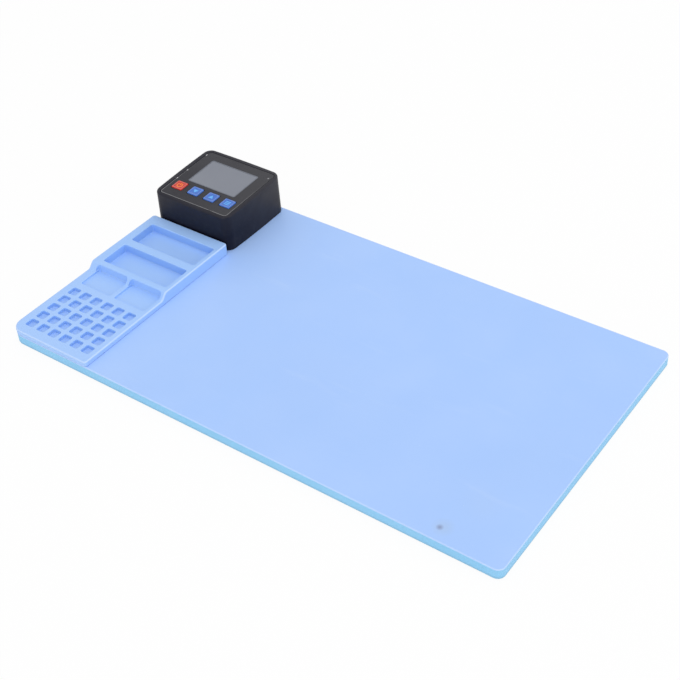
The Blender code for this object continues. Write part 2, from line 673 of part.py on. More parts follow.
def track_route():
    """The etched track's middle line: legs back and forth, then a return run up the left side."""
    step = TRACK_WIDTH + TRACK_SPACING
    half = TRACK_WIDTH / 2
    return_x = HEATER_LEFT + SEAT_GAP + half
    right = HEATER_RIGHT - TRACK_BORDER - half
    first_y = LEAD_Y + step / 2
    last_y = HEATER_FRONT + TRACK_BORDER + half
    legs = int((first_y - last_y) / step) + 1
    legs -= legs % 2
    pitch = (first_y - last_y) / (legs - 1)
    route = [(return_x - half, first_y), (right, first_y)]
    for leg in range(1, legs):
        y = first_y - leg * pitch
        near, far = (right, return_x + step) if leg % 2 else (return_x + step, right)
        route += [(near, y), (far, y)]
    # The last leg runs on to the left side, and the track comes back up past the ends of the legs.
    route[-1] = (return_x, last_y)
    route.append((return_x, LEAD_Y - TRACK_SPACING / 2))
    return route


def make_leads():
    """Heater leads, with the cut-out in the live one, and the sensor's two thin leads."""
    gap = SEAT_GAP
    lead_z = (FRAME_BOTTOM + FRAME_TOP) / 2
    sensor_z = FRAME_BOTTOM + INSULATION_THICKNESS / 2
    live_y = LEAD_Y + LIVE_LANE
    cutout_x = (HEATER_LEFT + LEAD_X + LEAD_HOLE_LENGTH / 2) / 2
    half_cutout = CUTOUT_SIZE[0] / 2 + gap
    block("thermal_cutout", CUTOUT_SIZE, (cutout_x, live_y, lead_z), "white_wire", corner=0.0008)
    link = [(HEATER_LEFT, live_y, lead_z), (cutout_x + half_cutout, live_y, lead_z)]
    wire("heater_lead_link", link, HEATER_LEAD_RADIUS, "red_wire")
    sensor_end = SENSOR_X - SENSOR_SIZE[0] / 2 - gap
    leads = (
        ("heater_lead_return", HEATER_LEFT, RETURN_LANE, lead_z, HEATER_LEAD_RADIUS, "blue_wire"),
        ("sensor_lead_left", sensor_end, -SENSOR_LANE, sensor_z, SENSOR_LEAD_RADIUS, "white_wire"),
        ("sensor_lead_right", sensor_end, SENSOR_LANE, sensor_z, SENSOR_LEAD_RADIUS, "white_wire"),
        ("heater_lead_live", cutout_x - half_cutout, LIVE_LANE, lead_z, HEATER_LEAD_RADIUS, "red_wire"),
    )
    spread = (LEAD_HOLE_LENGTH - 4 * HEATER_LEAD_RADIUS) / 4
    squeeze = (LEAD_HOLE_WIDTH / 2 - 2 * HEATER_LEAD_RADIUS) / max(LIVE_LANE, -RETURN_LANE)
    for way, (name, start_x, lane, z, radius, finish) in enumerate(leads):
        rise_x = LEAD_X + (way - 1.5) * spread
        rise_y = LEAD_Y + lane * squeeze
        way_x = TERMINAL_X + (way - 1.5) * TERMINAL_PITCH
        route = [
            (start_x, LEAD_Y + lane, z),
            (rise_x + spread, LEAD_Y + lane, z),
            (rise_x + spread / 4, rise_y, z + radius),
            (rise_x, rise_y, SHEET_BOTTOM + 2 * radius),
            (rise_x, rise_y, POWER_BOARD_BOTTOM),
            ((rise_x + way_x) / 2, (rise_y + TERMINAL_BACK) / 2 + 2 * radius, TERMINAL_ENTRY_Z),
            (way_x, TERMINAL_BACK + gap, TERMINAL_ENTRY_Z),
            (way_x, TERMINAL_BACK - ENTRY_DEPTH / 2, TERMINAL_ENTRY_Z),
        ]
        wire(name, route, radius, finish)


def make_tray():
    """The two-level tray: its side profile drawn across the strip, then bins and cells cut down into it."""
    half = TRAY_WIDTH / 2
    side = [(0.0, 0.0), (0.0, TRAY_LOW_HEIGHT)]
    steps = 8
    for step in range(steps + 1):
        share = step / steps
        rise = share * share * (3 - 2 * share)
        height = TRAY_LOW_HEIGHT + rise * (TRAY_HIGH_HEIGHT - TRAY_LOW_HEIGHT)
        side.append((TRAY_STEP_START + share * TRAY_STEP_RUN, height))
    side += [(TRAY_LENGTH, TRAY_HIGH_HEIGHT), (TRAY_LENGTH, 0.0)]
    shape = bmesh.new()
    face = shape.faces.new([shape.verts.new((-half, y - TRAY_LENGTH / 2, z)) for y, z in side])
    grown = bmesh.ops.extrude_face_region(shape, geom=[face])
    moved = [item for item in grown["geom"] if isinstance(item, bmesh.types.BMVert)]
    bmesh.ops.translate(shape, vec=(TRAY_WIDTH, 0.0, 0.0), verts=moved)
    bmesh.ops.recalc_face_normals(shape, faces=shape.faces)
    round_edges(shape, uprights(shape, TRAY_WIDTH, TRAY_LENGTH, True), MAT_TRAY_CORNER_RADIUS, CORNER_STEPS)
    round_edges(shape, uprights(shape, TRAY_WIDTH, TRAY_LENGTH, False), 2 * TRAY_EDGE_ROUND, 3)
    round_edges(shape, [edge for edge in shape.edges if is_rim(edge)], TRAY_EDGE_ROUND, 2)
    centre = ((MAT_LEFT + TRAY_RIGHT) / 2, (MAT_FRONT + TRAY_BACK) / 2, ON_MAT)
    tray = add_object("parts_tray", mesh_from("parts_tray", shape), centre, "periwinkle_silicone")
    cut(tray, *long_bins(), *square_bins(), cells())


def is_rim(edge):
    """An edge between a wall and the upper surface of the tray."""
    low, high = sorted(face.normal.z for face in edge.link_faces)
    return abs(low) < 0.2 and high > 0.4


def bin_cutter(name, low, high, floor, rim, radius, steps=2, back_flare=1.0):
    """A cutter from floor up past rim, the surface around it, where it flares and leaves a soft edge.

    A bin that ends at the step has no back flare, because the surface rises there.
    """
    levels = []
    for step in range(steps + 1):
        angle = step / steps * math.pi / 2
        levels.append((floor + radius / 2 * (1 - math.cos(angle)), radius / 2 * (math.sin(angle) - 1)))
    for step in range(steps + 1):
        angle = step / steps * math.pi / 2
        levels.append((rim - RIM_ROUND * (1 - math.sin(angle)), RIM_ROUND * (1 - math.cos(angle))))
    levels.append((ON_MAT + TRAY_HIGH_HEIGHT + OVERCUT, RIM_ROUND))
    rings = []
    for level, grow in levels:
        back = grow * back_flare if grow > 0 else grow
        plan = rounded_rectangle(
            (low[0] - grow, low[1] - grow), (high[0] + grow, high[1] + back), radius + grow, steps + 1
        )
        rings.append([(x, y, level) for x, y in plan])
    return stacked(name, rings, (0.0, 0.0, 0.0))


def long_bins():
    left = MAT_LEFT + TRAY_LEFT_RIM
    made = []
    for index in range(2):
        far = TRAY_BACK - TRAY_BACK_RIM - index * (LONG_BIN_LENGTH + LONG_BIN_RIB)
        low, high = (left, far - LONG_BIN_LENGTH), (left + TRAY_BIN_SPAN, far)
        name = f"long_bin_{index + 1}"
        rim = ON_MAT + TRAY_HIGH_HEIGHT
        made.append(bin_cutter(name, low, high, BIN_FLOOR, rim, BIN_CORNER_RADIUS))
    return made


def square_bins():
    width = (TRAY_BIN_SPAN - SQUARE_BIN_DIVIDER) / 2
    far = MAT_FRONT + SQUARE_BINS_END
    made = []
    for index in range(2):
        start = MAT_LEFT + TRAY_LEFT_RIM + index * (width + SQUARE_BIN_DIVIDER)
        low, high = (start, far - SQUARE_BIN_LENGTH), (start + width, far)
        name = f"square_bin_{index + 1}"
        rim = ON_MAT + TRAY_LOW_HEIGHT
        made.append(bin_cutter(name, low, high, BIN_FLOOR, rim, BIN_CORNER_RADIUS, back_flare=0.0))
    return made


def cells():
    """One cutter for the grid of small cells: the first, repeated along X and then along Y."""
    first_x = MAT_LEFT + TRAY_LEFT_RIM + CELL_SIDE_MARGIN
    first_y = MAT_FRONT + CELL_FRONT_MARGIN
    low, high = (first_x, first_y), (first_x + CELL_SIZE, first_y + CELL_SIZE)
    rim = ON_MAT + TRAY_LOW_HEIGHT
    cell = bin_cutter("cells", low, high, rim - CELL_DEPTH, rim, CELL_CORNER_RADIUS, steps=1)
    for count, offset in ((CELL_COLUMNS, (CELL_PITCH_X, 0, 0)), (CELL_ROWS, (0, CELL_PITCH_Y, 0))):
        repeat = cell.modifiers.new("repeat", "ARRAY")
        repeat.count = count
        repeat.use_relative_offset = False
        repeat.use_constant_offset = True
        repeat.constant_offset_displace = offset
    return cell


def make_panel_frame():
    """The empty that carries all that lies on or under the sloping roof: its XY plane is the roof's."""
    frame = bpy.data.objects.new("panel_frame", None)
    frame.location = (PANEL_X, PANEL_Y, roof_height(PANEL_Y - BOX_Y))
    frame.rotation_euler.x = PANEL_TILT
    parts.objects.link(frame)
    return frame


def key_places():
    return [((index - 1.5) * KEY_PITCH, KEY_V) for index in range(4)]


def post_places():
    return [(x, y) for x in POST_X for y in POST_Y]


def boss_places():
    return [(u, v) for u in (-BOSS_U, BOSS_U) for v in BOSS_V]


def standoff_places():
    across = (BOARD_LEFT + STANDOFF_INSET, BOARD_RIGHT - STANDOFF_INSET)
    along = (BOARD_FRONT + STANDOFF_INSET, POWER_BOARD_BACK - STANDOFF_INSET)
    return [(x, y) for x in across for y in along]


def panel_cutters(frame):
    """Cutters of the display's and the keys' openings, through both the film and the roof."""
    low, high = -ROOF - OVERCUT / 4, OVERCUT
    size = (DISPLAY_WIDTH + 2 * SEAT_GAP, DISPLAY_LENGTH + 2 * SEAT_GAP, high - low)
    middle = (low + high) / 2
    made = [block("display_opening", size, (0, DISPLAY_V, middle), parent=frame, corner=OPENING_CORNER)]
    size = (KEY_WIDTH + 2 * KEY_CLEARANCE, KEY_LENGTH + 2 * KEY_CLEARANCE, high - low)
    for index, (u, v) in enumerate(key_places()):
        name = f"key_opening_{index + 1}"
        made.append(block(name, size, (u, v, middle), parent=frame, corner=OPENING_CORNER))
    return made


def make_shell(frame, openings):
    """The moulded shell: a drafted outside and cavity, posts and bosses, then its openings."""
    shell = box_loft(
        "housing_shell", BOX_WIDTH, BOX_LENGTH, BOX_CORNER_RADIUS, ON_MAT, 0.0, BOX_TOP_ROUND, "black_plastic"
    )
    inner = (BOX_WIDTH - 2 * WALL, BOX_LENGTH - 2 * WALL, BOX_CORNER_RADIUS - WALL)
    cut(shell, box_loft("cavity", *inner, ON_MAT - OVERCUT, ROOF, BOX_TOP_ROUND / 2))
    for index, (x, y) in enumerate(post_places()):
        top = roof_height(y - BOX_Y, ROOF / 2)
        place = (x, y, (POST_BOTTOM + top) / 2)
        join(shell, rod(f"post_{index + 1}", POST_RADIUS, top - POST_BOTTOM, place))
    for index, (u, v) in enumerate(boss_places()):
        low, high = BOARD_TOP + SEAT_GAP, -ROOF / 2
        place = (u, v, (low + high) / 2)
        join(shell, rod(f"boss_{index + 1}", BOARD_BOSS_RADIUS, high - low, place, parent=frame, steps=16))
    join(shell, inlet_pad("inlet_pad", 0.0))

    deep = SCREW_LENGTH + OVERCUT
    for index, (x, y) in enumerate(post_places()):
        place = (x, y, POST_BOTTOM + deep / 2 - OVERCUT / 2)
        cut(shell, rod(f"post_hole_{index + 1}", POST_HOLE_RADIUS, deep, place, steps=16))
    for index, (u, v) in enumerate(boss_places()):
        low, high = BOARD_TOP - OVERCUT, -ROOF - SEAT_GAP
        place = (u, v, (low + high) / 2)
        radius = BOARD_SCREW_RADIUS + SEAT_GAP
        cut(shell, rod(f"boss_hole_{index + 1}", radius, high - low, place, parent=frame, steps=12))
    size = (OVERLAY_WIDTH + 2 * SEAT_GAP, OVERLAY_LENGTH + 2 * SEAT_GAP, OVERLAY_RECESS + OVERCUT)
    place = (0, 0, (OVERCUT - OVERLAY_RECESS) / 2)
    cut(shell, block("overlay_recess", size, place, parent=frame, corner=OVERLAY_CORNER), *openings)
    cut(shell, *inlet_openings())


def inlet_pad(name, clearance):
    """The thicker stretch of the back wall around the inlet, or the notch in the plate that clears it."""
    half = INLET_PAD_WIDTH / 2 + clearance
    foot = ON_MAT + SEAT_GAP if clearance == 0.0 else ON_MAT - OVERCUT
    back = BOX_BACK - BOX_DRAFT - WALL / 3 if clearance == 0.0 else BOX_BACK
    top = INLET_Z + INLET_FLANGE_HALF_HEIGHT + WALL
    low = (INLET_X - half, INLET_RECESS - WALL - clearance, foot)
    return span_block(name, low, (INLET_X + half, back, top))


def inlet_openings():
    """Cutters of the flange's recess and of the body's opening in the back wall."""
    flange_x = INLET_BODY_WIDTH / 2 + INLET_FLANGE + SEAT_GAP
    flange_z = INLET_FLANGE_HALF_HEIGHT + SEAT_GAP
    body_x = INLET_BODY_WIDTH / 2 + SEAT_GAP
    body_z = INLET_BODY_HEIGHT / 2 + SEAT_GAP
    recess = span_block(
        "flange_recess",
        (INLET_X - flange_x, INLET_RECESS, INLET_Z - flange_z),
        (INLET_X + flange_x, BOX_BACK + OVERCUT, INLET_Z + flange_z),
    )
    opening = span_block(
        "inlet_opening",
        (INLET_X - body_x, INLET_RECESS - WALL - OVERCUT, INLET_Z - body_z),
        (INLET_X + body_x, BOX_BACK, INLET_Z + body_z),
    )
    return recess, opening


def make_bottom_plate():
    """The plate in the shell's mouth, with its screw holes, standoffs and the notch for the inlet's pad."""
    inset = WALL + SEAT_GAP
    plan = crowned_plan(BOX_WIDTH - 2 * inset, BOX_LENGTH - 2 * inset, BOX_CORNER_RADIUS - inset, 0.0)
    place = (BOX_X, BOX_Y, ON_MAT + PLATE_THICKNESS / 2)
    plate = prism("housing_base", plan, PLATE_THICKNESS, place, "black_plastic")
    cut(plate, inlet_pad("plate_notch", SEAT_GAP), lead_hole("plate_lead_hole", ON_MAT, PLATE_TOP))
    for index, (x, y) in enumerate(post_places()):
        room = SCREW_HEAD_HEIGHT + SEAT_GAP
        sink = (x, y, ON_MAT + (room - OVERCUT) / 2)
        cut(plate, rod(f"head_recess_{index + 1}", SCREW_HEAD_RADIUS + SEAT_GAP, room + OVERCUT, sink))
        place = (x, y, ON_MAT + PLATE_THICKNESS / 2)
        cut(plate, rod(f"plate_hole_{index + 1}", POST_HOLE_RADIUS, 2 * PLATE_THICKNESS, place, steps=16))
    for index, (x, y) in enumerate(standoff_places()):
        low = PLATE_TOP - PLATE_THICKNESS / 2
        foot = (x, y, (low + PLATE_TOP + STANDOFF_HEIGHT) / 2)
        height = PLATE_TOP + STANDOFF_HEIGHT - low
        join(plate, rod(f"standoff_{index + 1}", STANDOFF_RADIUS, height, foot, steps=16))
        pin = (x, y, (PLATE_TOP + POWER_BOARD_TOP) / 2)
        height = POWER_BOARD_TOP - PLATE_TOP
        join(plate, rod(f"standoff_pin_{index + 1}", STANDOFF_PIN_RADIUS, height, pin, steps=12))


def make_housing_screws():
    """Pan-head screws, driven up through the plate into the shell's posts."""
    head, shank, under = SCREW_HEAD_RADIUS, SCREW_RADIUS, SCREW_HEAD_HEIGHT
    tip = under + SCREW_LENGTH
    profile = [
        (0.0, tip),
        (shank / 2, tip),
        (shank, tip - shank),
        (shank, under),
        (head, under),
        (head, under / 2),
        (0.8 * head, 0.0),
        (0.4 * head, 0.0),
        (0.3 * head, under / 2),
        (0.0, under / 2),
    ]
    for index, (x, y) in enumerate(post_places()):
        turned(f"housing_screw_{index + 1}", profile, (x, y, ON_MAT), "steel", steps=16)


def make_panel(frame, openings):
    """Panel film, display pane and the display module under it."""
    top = OVERLAY_THICKNESS + SEAT_GAP - OVERLAY_RECESS
    size = (OVERLAY_WIDTH, OVERLAY_LENGTH, OVERLAY_THICKNESS)
    place = (0, 0, top - OVERLAY_THICKNESS / 2)
    film = block("panel_overlay", size, place, "panel_film", frame, corner=OVERLAY_CORNER)
    cut(film, *openings)
    size = (DISPLAY_WIDTH, DISPLAY_LENGTH, ROOF + top)
    place = (0, DISPLAY_V, (top - ROOF) / 2)
    block("display_lens", size, place, "display_pane", frame, corner=OPENING_CORNER - SEAT_GAP)
    size = (DISPLAY_WIDTH + 2 * DISPLAY_FRAME, DISPLAY_LENGTH + 2 * DISPLAY_FRAME, DISPLAY_THICKNESS)
    place = (0, DISPLAY_V, UNDER_ROOF - DISPLAY_THICKNESS / 2)
    block("lcd_module", size, place, "display_body", frame, corner=OPENING_CORNER)


def make_keys(frame):
    """Four caps with a flange under the roof. Each one's origin lies on its own slide axis."""
    names = ("power_key", "down_key", "up_key", "mode_key")
    finishes = ("red_key", "blue_key", "blue_key", "blue_key")
    half_x, half_y = KEY_WIDTH / 2, KEY_LENGTH / 2
    levels = (
        (FLANGE_BOTTOM, KEY_FLANGE),
        (UNDER_ROOF, KEY_FLANGE),
        (UNDER_ROOF, 0.0),
        (KEY_PROUD - KEY_EDGE_ROUND, 0.0),
        (KEY_PROUD - 0.3 * KEY_EDGE_ROUND, -0.3 * KEY_EDGE_ROUND),
        (KEY_PROUD, -KEY_EDGE_ROUND),
    )
    rings = []
    for level, grow in levels:
        reach_x, reach_y = half_x + grow, half_y + grow
        plan = rounded_rectangle((-reach_x, -reach_y), (reach_x, reach_y), KEY_CORNER_RADIUS + grow, 3)
        rings.append([(x, y, level) for x, y in plan])
    for name, finish, (u, v) in zip(names, finishes, key_places()):
        stacked(name, rings, (u, v, 0.0), finish, frame)


def make_control_board(frame):
    """The board under the roof: switches on top, chip and buzzer below, four screws into the bosses."""
    width = BOARD_RIGHT - BOARD_LEFT
    length = CONTROL_BOARD_BACK - BOARD_FRONT
    u = (BOARD_LEFT + BOARD_RIGHT) / 2 - PANEL_X
    v = (CONTROL_BOARD_BACK + BOARD_FRONT) / 2 - PANEL_Y
    place = (u, v, (BOARD_TOP + BOARD_BOTTOM) / 2)
    board = block("control_board", (width, length, BOARD_THICKNESS), place, "circuit_board", frame)
    head_top = BOARD_BOTTOM - SEAT_GAP
    screw_tip = -ROOF - 3 * SEAT_GAP
    profile = [
        (0.0, screw_tip - head_top),
        (BOARD_SCREW_RADIUS, screw_tip - head_top),
        (BOARD_SCREW_RADIUS, 0.0),
        (BOARD_SCREW_HEAD_RADIUS, 0.0),
        (0.8 * BOARD_SCREW_HEAD_RADIUS, -BOARD_SCREW_HEAD_HEIGHT),
        (0.0, -BOARD_SCREW_HEAD_HEIGHT),
    ]
    for index, (x, y) in enumerate(boss_places()):
        radius = BOARD_SCREW_RADIUS + SEAT_GAP
        place = (x, y, (BOARD_TOP + BOARD_BOTTOM) / 2)
        cut(board, rod(f"board_hole_{index + 1}", radius, 2 * BOARD_THICKNESS, place, parent=frame, steps=12))
        turned(f"board_screw_{index + 1}", profile, (x, y, head_top), "steel", frame, steps=12)

    foot = BOARD_TOP + SEAT_GAP
    shoulder = PLUNGER_TOP - PLUNGER_HEIGHT
    for index, (x, y) in enumerate(key_places()):
        size = (SWITCH_SIZE, SWITCH_SIZE, shoulder - foot)
        switch = block(f"tact_switch_{index + 1}", size, (x, y, (foot + shoulder) / 2), "chip_black", frame)
        place = (x, y, (foot + PLUNGER_TOP) / 2 + SEAT_GAP)
        height = PLUNGER_TOP - foot - 2 * SEAT_GAP
        join(switch, rod(f"plunger_{index + 1}", PLUNGER_RADIUS, height, place, parent=frame, steps=16))
    place = (0, v, BOARD_BOTTOM - SEAT_GAP - CHIP_SIZE[2] / 2)
    block("controller_chip", CHIP_SIZE, place, "chip_black", frame, corner=0.0005)
    profile = [
        (0.0, 0.0),
        (BUZZER_RADIUS, 0.0),
        (BUZZER_RADIUS, -BUZZER_HEIGHT),
        (0.3 * BUZZER_RADIUS, -BUZZER_HEIGHT),
        (0.3 * BUZZER_RADIUS, -0.7 * BUZZER_HEIGHT),
        (0.0, -0.7 * BUZZER_HEIGHT),
    ]
    turned("buzzer", profile, (BOSS_U / 2, v, BOARD_BOTTOM - SEAT_GAP), "chip_black", frame)


def make_power_board():
    """The board on the plate's standoffs, and the mains parts on it."""
    low = (BOARD_LEFT, BOARD_FRONT, POWER_BOARD_BOTTOM)
    board = span_block("power_board", low, (BOARD_RIGHT, POWER_BOARD_BACK, POWER_BOARD_TOP), "circuit_board")
    for index, (x, y) in enumerate(standoff_places()):
        radius = STANDOFF_PIN_RADIUS + SEAT_GAP
        place = (x, y, (POWER_BOARD_BOTTOM + POWER_BOARD_TOP) / 2)
        cut(board, rod(f"pin_hole_{index + 1}", radius, 2 * BOARD_THICKNESS, place, steps=12))

    length = ROOM_BACK - ROOM_FRONT
    place = (TRANSFORMER_X, (ROOM_FRONT + ROOM_BACK) / 2, ON_POWER_BOARD + TRANSFORMER_HEIGHT / 2)
    size = (TRANSFORMER_WIDTH, 0.55 * length, TRANSFORMER_HEIGHT)
    core = block("transformer", size, place, "ferrite")
    size = (0.6 * TRANSFORMER_WIDTH, length, 0.8 * TRANSFORMER_HEIGHT)
    join(core, block("winding", size, place, corner=0.1 * length))

    place = (HEATSINK_X, (ROOM_FRONT + HEATSINK_BACK) / 2, ON_POWER_BOARD)
    fins = comb(HEATSINK_WIDTH, HEATSINK_HEIGHT)
    sink = prism("heatsink", fins, HEATSINK_BACK - ROOM_FRONT, place, "aluminium")
    sink.rotation_euler.x = math.pi / 2
    size = (TRIAC_SHARE * BOARD_WIDTH, TRIAC_THICKNESS, TRIAC_HEIGHT)
    place = (HEATSINK_X, ROOM_BACK - TRIAC_THICKNESS / 2, ON_POWER_BOARD + TRIAC_HEIGHT / 2)
    block("triac", size, place, "chip_black", corner=0.2 * TRIAC_THICKNESS)

    place = (TERMINAL_X, CAPACITOR_Y, ON_POWER_BOARD)
    rim = 0.85 * CAPACITOR_RADIUS
    profile = [
        (0.0, CAPACITOR_HEIGHT),
        (rim, CAPACITOR_HEIGHT),
        (CAPACITOR_RADIUS, 0.95 * CAPACITOR_HEIGHT),
        (CAPACITOR_RADIUS, 0.15 * CAPACITOR_HEIGHT),
        (rim, 0.1 * CAPACITOR_HEIGHT),
        (CAPACITOR_RADIUS, 0.05 * CAPACITOR_HEIGHT),
        (CAPACITOR_RADIUS, 0.0),
        (0.0, 0.0),
    ]
    turned("input_capacitor", profile, place, "capacitor_sleeve")
    make_fuse()
    make_terminal_block()

    foot = roof_height(BOARD_FRONT + BOARD_MARGIN - BOX_Y, -BOARD_BOTTOM + 2 * SEAT_GAP)
    rise = foot - ON_POWER_BOARD
    bend = [(0.0, 0.0), (0.0, 0.2 * rise), (RIBBON_THICKNESS, 0.5 * rise), (0.0, 0.8 * rise), (0.0, rise)]
    outline = strip_outline(bend, RIBBON_THICKNESS)
    place = (RIBBON_X, BOARD_FRONT + BOARD_MARGIN + RIBBON_WIDTH / 2, ON_POWER_BOARD)
    ribbon = prism("board_ribbon", outline, RIBBON_WIDTH, place, "white_wire")
    ribbon.rotation_euler.x = math.pi / 2


def comb(width, height):
    """Outline of a heat sink's section: a base with fins standing on it."""
    pitch = width / (2 * HEATSINK_FINS - 1)
    base = 0.25 * height
    points = [(-width / 2, 0.0), (width / 2, 0.0)]
    for index in range(HEATSINK_FINS):
        right = width / 2 - 2 * index * pitch
        points += [(right, height), (right - pitch, height)]
        if index < HEATSINK_FINS - 1:
            points += [(right - pitch, base), (right - 2 * pitch, base)]
    return points


def make_fuse():
    """A cartridge fuse in a holder with a sprung clip at each end."""
    cap, tube, half = FUSE_RADIUS, 0.9 * FUSE_RADIUS, FUSE_LENGTH / 2
    end = 0.55 * half
    profile = [(0.0, half), (cap, half), (cap, end), (tube, end)]
    profile += [(radius, -height) for radius, height in reversed(profile)]
    fuse = turned("fuse", profile, (FUSE_X, FUSE_Y, FUSE_Z), "glass_tube")
    fuse.rotation_euler.y = math.pi / 2
    size = (FUSE_HOLDER_LENGTH, FUSE_HOLDER_WIDTH, FUSE_HOLDER_BASE)
    place = (FUSE_X, FUSE_Y, ON_POWER_BOARD + FUSE_HOLDER_BASE / 2)
    holder = block("fuse_holder", size, place, "chip_black")
    height = FUSE_Z + 0.4 * FUSE_RADIUS - ON_POWER_BOARD - SEAT_GAP
    size = (FUSE_CLIP_LENGTH, 0.98 * FUSE_HOLDER_WIDTH, height)
    for side in (-1, 1):
        x = FUSE_X + side * (FUSE_HOLDER_LENGTH / 2 - FUSE_CLIP_LENGTH / 2 - SEAT_GAP)
        place = (x, FUSE_Y, ON_POWER_BOARD + SEAT_GAP + size[2] / 2)
        join(holder, block("clip_left" if side < 0 else "clip_right", size, place))
    room = FUSE_RADIUS + SEAT_GAP
    trough = rod("fuse_trough", room, FUSE_HOLDER_LENGTH + OVERCUT, (FUSE_X, FUSE_Y, FUSE_Z), axis="X")
    size = (2 * FUSE_HOLDER_LENGTH, 1.8 * room, 2 * room)
    cut(holder, trough, block("fuse_mouth", size, (FUSE_X, FUSE_Y, FUSE_Z + room)))


def make_terminal_block():
    """Four ways: the leads enter from behind, and each has a clamping screw in a well on top."""
    low = (TERMINAL_X - TERMINAL_WIDTH / 2, TERMINAL_BACK - TERMINAL_DEPTH, ON_POWER_BOARD)
    high = (TERMINAL_X + TERMINAL_WIDTH / 2, TERMINAL_BACK, ON_POWER_BOARD + TERMINAL_HEIGHT)
    terminals = span_block("terminal_block", low, high, "terminal_green")
    for way in range(4):
        x = TERMINAL_X + (way - 1.5) * TERMINAL_PITCH
        place = (x, TERMINAL_BACK - ENTRY_DEPTH / 2 + OVERCUT / 2, TERMINAL_ENTRY_Z)
        entry = rod(f"entry_{way + 1}", ENTRY_RADIUS, ENTRY_DEPTH + OVERCUT, place, steps=16, axis="Y")
        place = (x, TERMINAL_BACK - TERMINAL_DEPTH / 2, high[2])
        well = rod(f"screw_well_{way + 1}", ENTRY_RADIUS, ENTRY_DEPTH, place, steps=16)
        cut(terminals, entry, well)


def make_inlet():
    """The mains inlet: body with flange and socket, three pins, and a wire from each pin to the board."""
    length = INLET_BODY_DEPTH - INLET_FLANGE_THICKNESS / 2
    place = (INLET_X, INLET_INNER + length / 2, INLET_Z)
    body = block("ac_inlet", (INLET_BODY_WIDTH, length, INLET_BODY_HEIGHT), place, "black_plastic")
    reach = INLET_BODY_WIDTH / 2 + INLET_FLANGE
    low = (INLET_X - reach, INLET_FACE - INLET_FLANGE_THICKNESS, INLET_Z - INLET_FLANGE_HALF_HEIGHT)
    high = (INLET_X + reach, INLET_FACE, INLET_Z + INLET_FLANGE_HALF_HEIGHT)
    join(body, span_block("inlet_flange", low, high))
    half_x, half_z = SOCKET_WIDTH / 2, SOCKET_HEIGHT / 2
    outline = [(-half_x, -half_z), (half_x, -half_z), (half_x, half_z - SOCKET_CHAMFER)]
    outline += [(half_x - SOCKET_CHAMFER, half_z), (SOCKET_CHAMFER - half_x, half_z)]
    outline += [(-half_x, half_z - SOCKET_CHAMFER)]
    place = (INLET_X, INLET_FACE + (OVERCUT - SOCKET_DEPTH) / 2, INLET_Z)
    socket = prism("socket", outline, SOCKET_DEPTH + OVERCUT, place)
    socket.rotation_euler.x = math.pi / 2
    cut(body, socket)

    pins = (
        ("live", PIN_SPACING, -PIN_OFFSET, "red_wire"),
        ("neutral", -PIN_SPACING, -PIN_OFFSET, "blue_wire"),
        ("earth", 0.0, PIN_OFFSET, "green_wire"),
    )
    tip = INLET_FACE - PIN_TIP_DEPTH
    for name, shift_x, shift_z, finish in pins:
        x, z = INLET_X + shift_x, INLET_Z + shift_z
        slot = (PIN_THICKNESS + 2 * SEAT_GAP, 4 * INLET_BACK_WALL, PIN_HEIGHT + 2 * SEAT_GAP)
        cut(body, block(f"pin_slot_{name}", slot, (x, INLET_INNER, z)))
        low = (x - PIN_THICKNESS / 2, PIN_TAIL_END, z - PIN_HEIGHT / 2)
        high = (x + PIN_THICKNESS / 2, tip, z + PIN_HEIGHT / 2)
        span_block(f"inlet_pin_{name}", low, high, "brass", corner=0.3 * PIN_THICKNESS)
        start = PIN_TAIL_END - SEAT_GAP
        fall = z - ON_POWER_BOARD
        route = [
            (x, start, z),
            (x, start - 1.5 * PIN_WIRE_RADIUS, z),
            (x, start - 3.5 * PIN_WIRE_RADIUS, z - 0.5 * fall),
            (x, start - 3.8 * PIN_WIRE_RADIUS, ON_POWER_BOARD),
        ]
        wire(f"inlet_wire_{name}", route, PIN_WIRE_RADIUS, finish)


def main():
    make_mat()
    make_heater()
    make_leads()
    make_tray()
    frame = make_panel_frame()
    openings = panel_cutters(frame)
    make_shell(frame, openings)
    make_bottom_plate()
    make_housing_screws()
    make_panel(frame, openings)
    make_keys(frame)
    make_control_board(frame)
    make_power_board()
    make_inlet()


clear_scene()
parts = add_collection("lcd_separator_heating_pad")
cutters = add_collection("cutters")
if __name__ == "__main__":
    main()
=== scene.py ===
"""Looks of the screen-separating heating pad: mat, parts tray and control box, on a pale stage.

The pad is a cyan silicone mat with a pale blue top, a moulded tray along its left end and a black control
box in its back left corner. Metres, +Z up, with the user at -Y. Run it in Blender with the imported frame
beside it.
"""

import json
import math

import bmesh
import bpy
from mathutils import Matrix, Vector


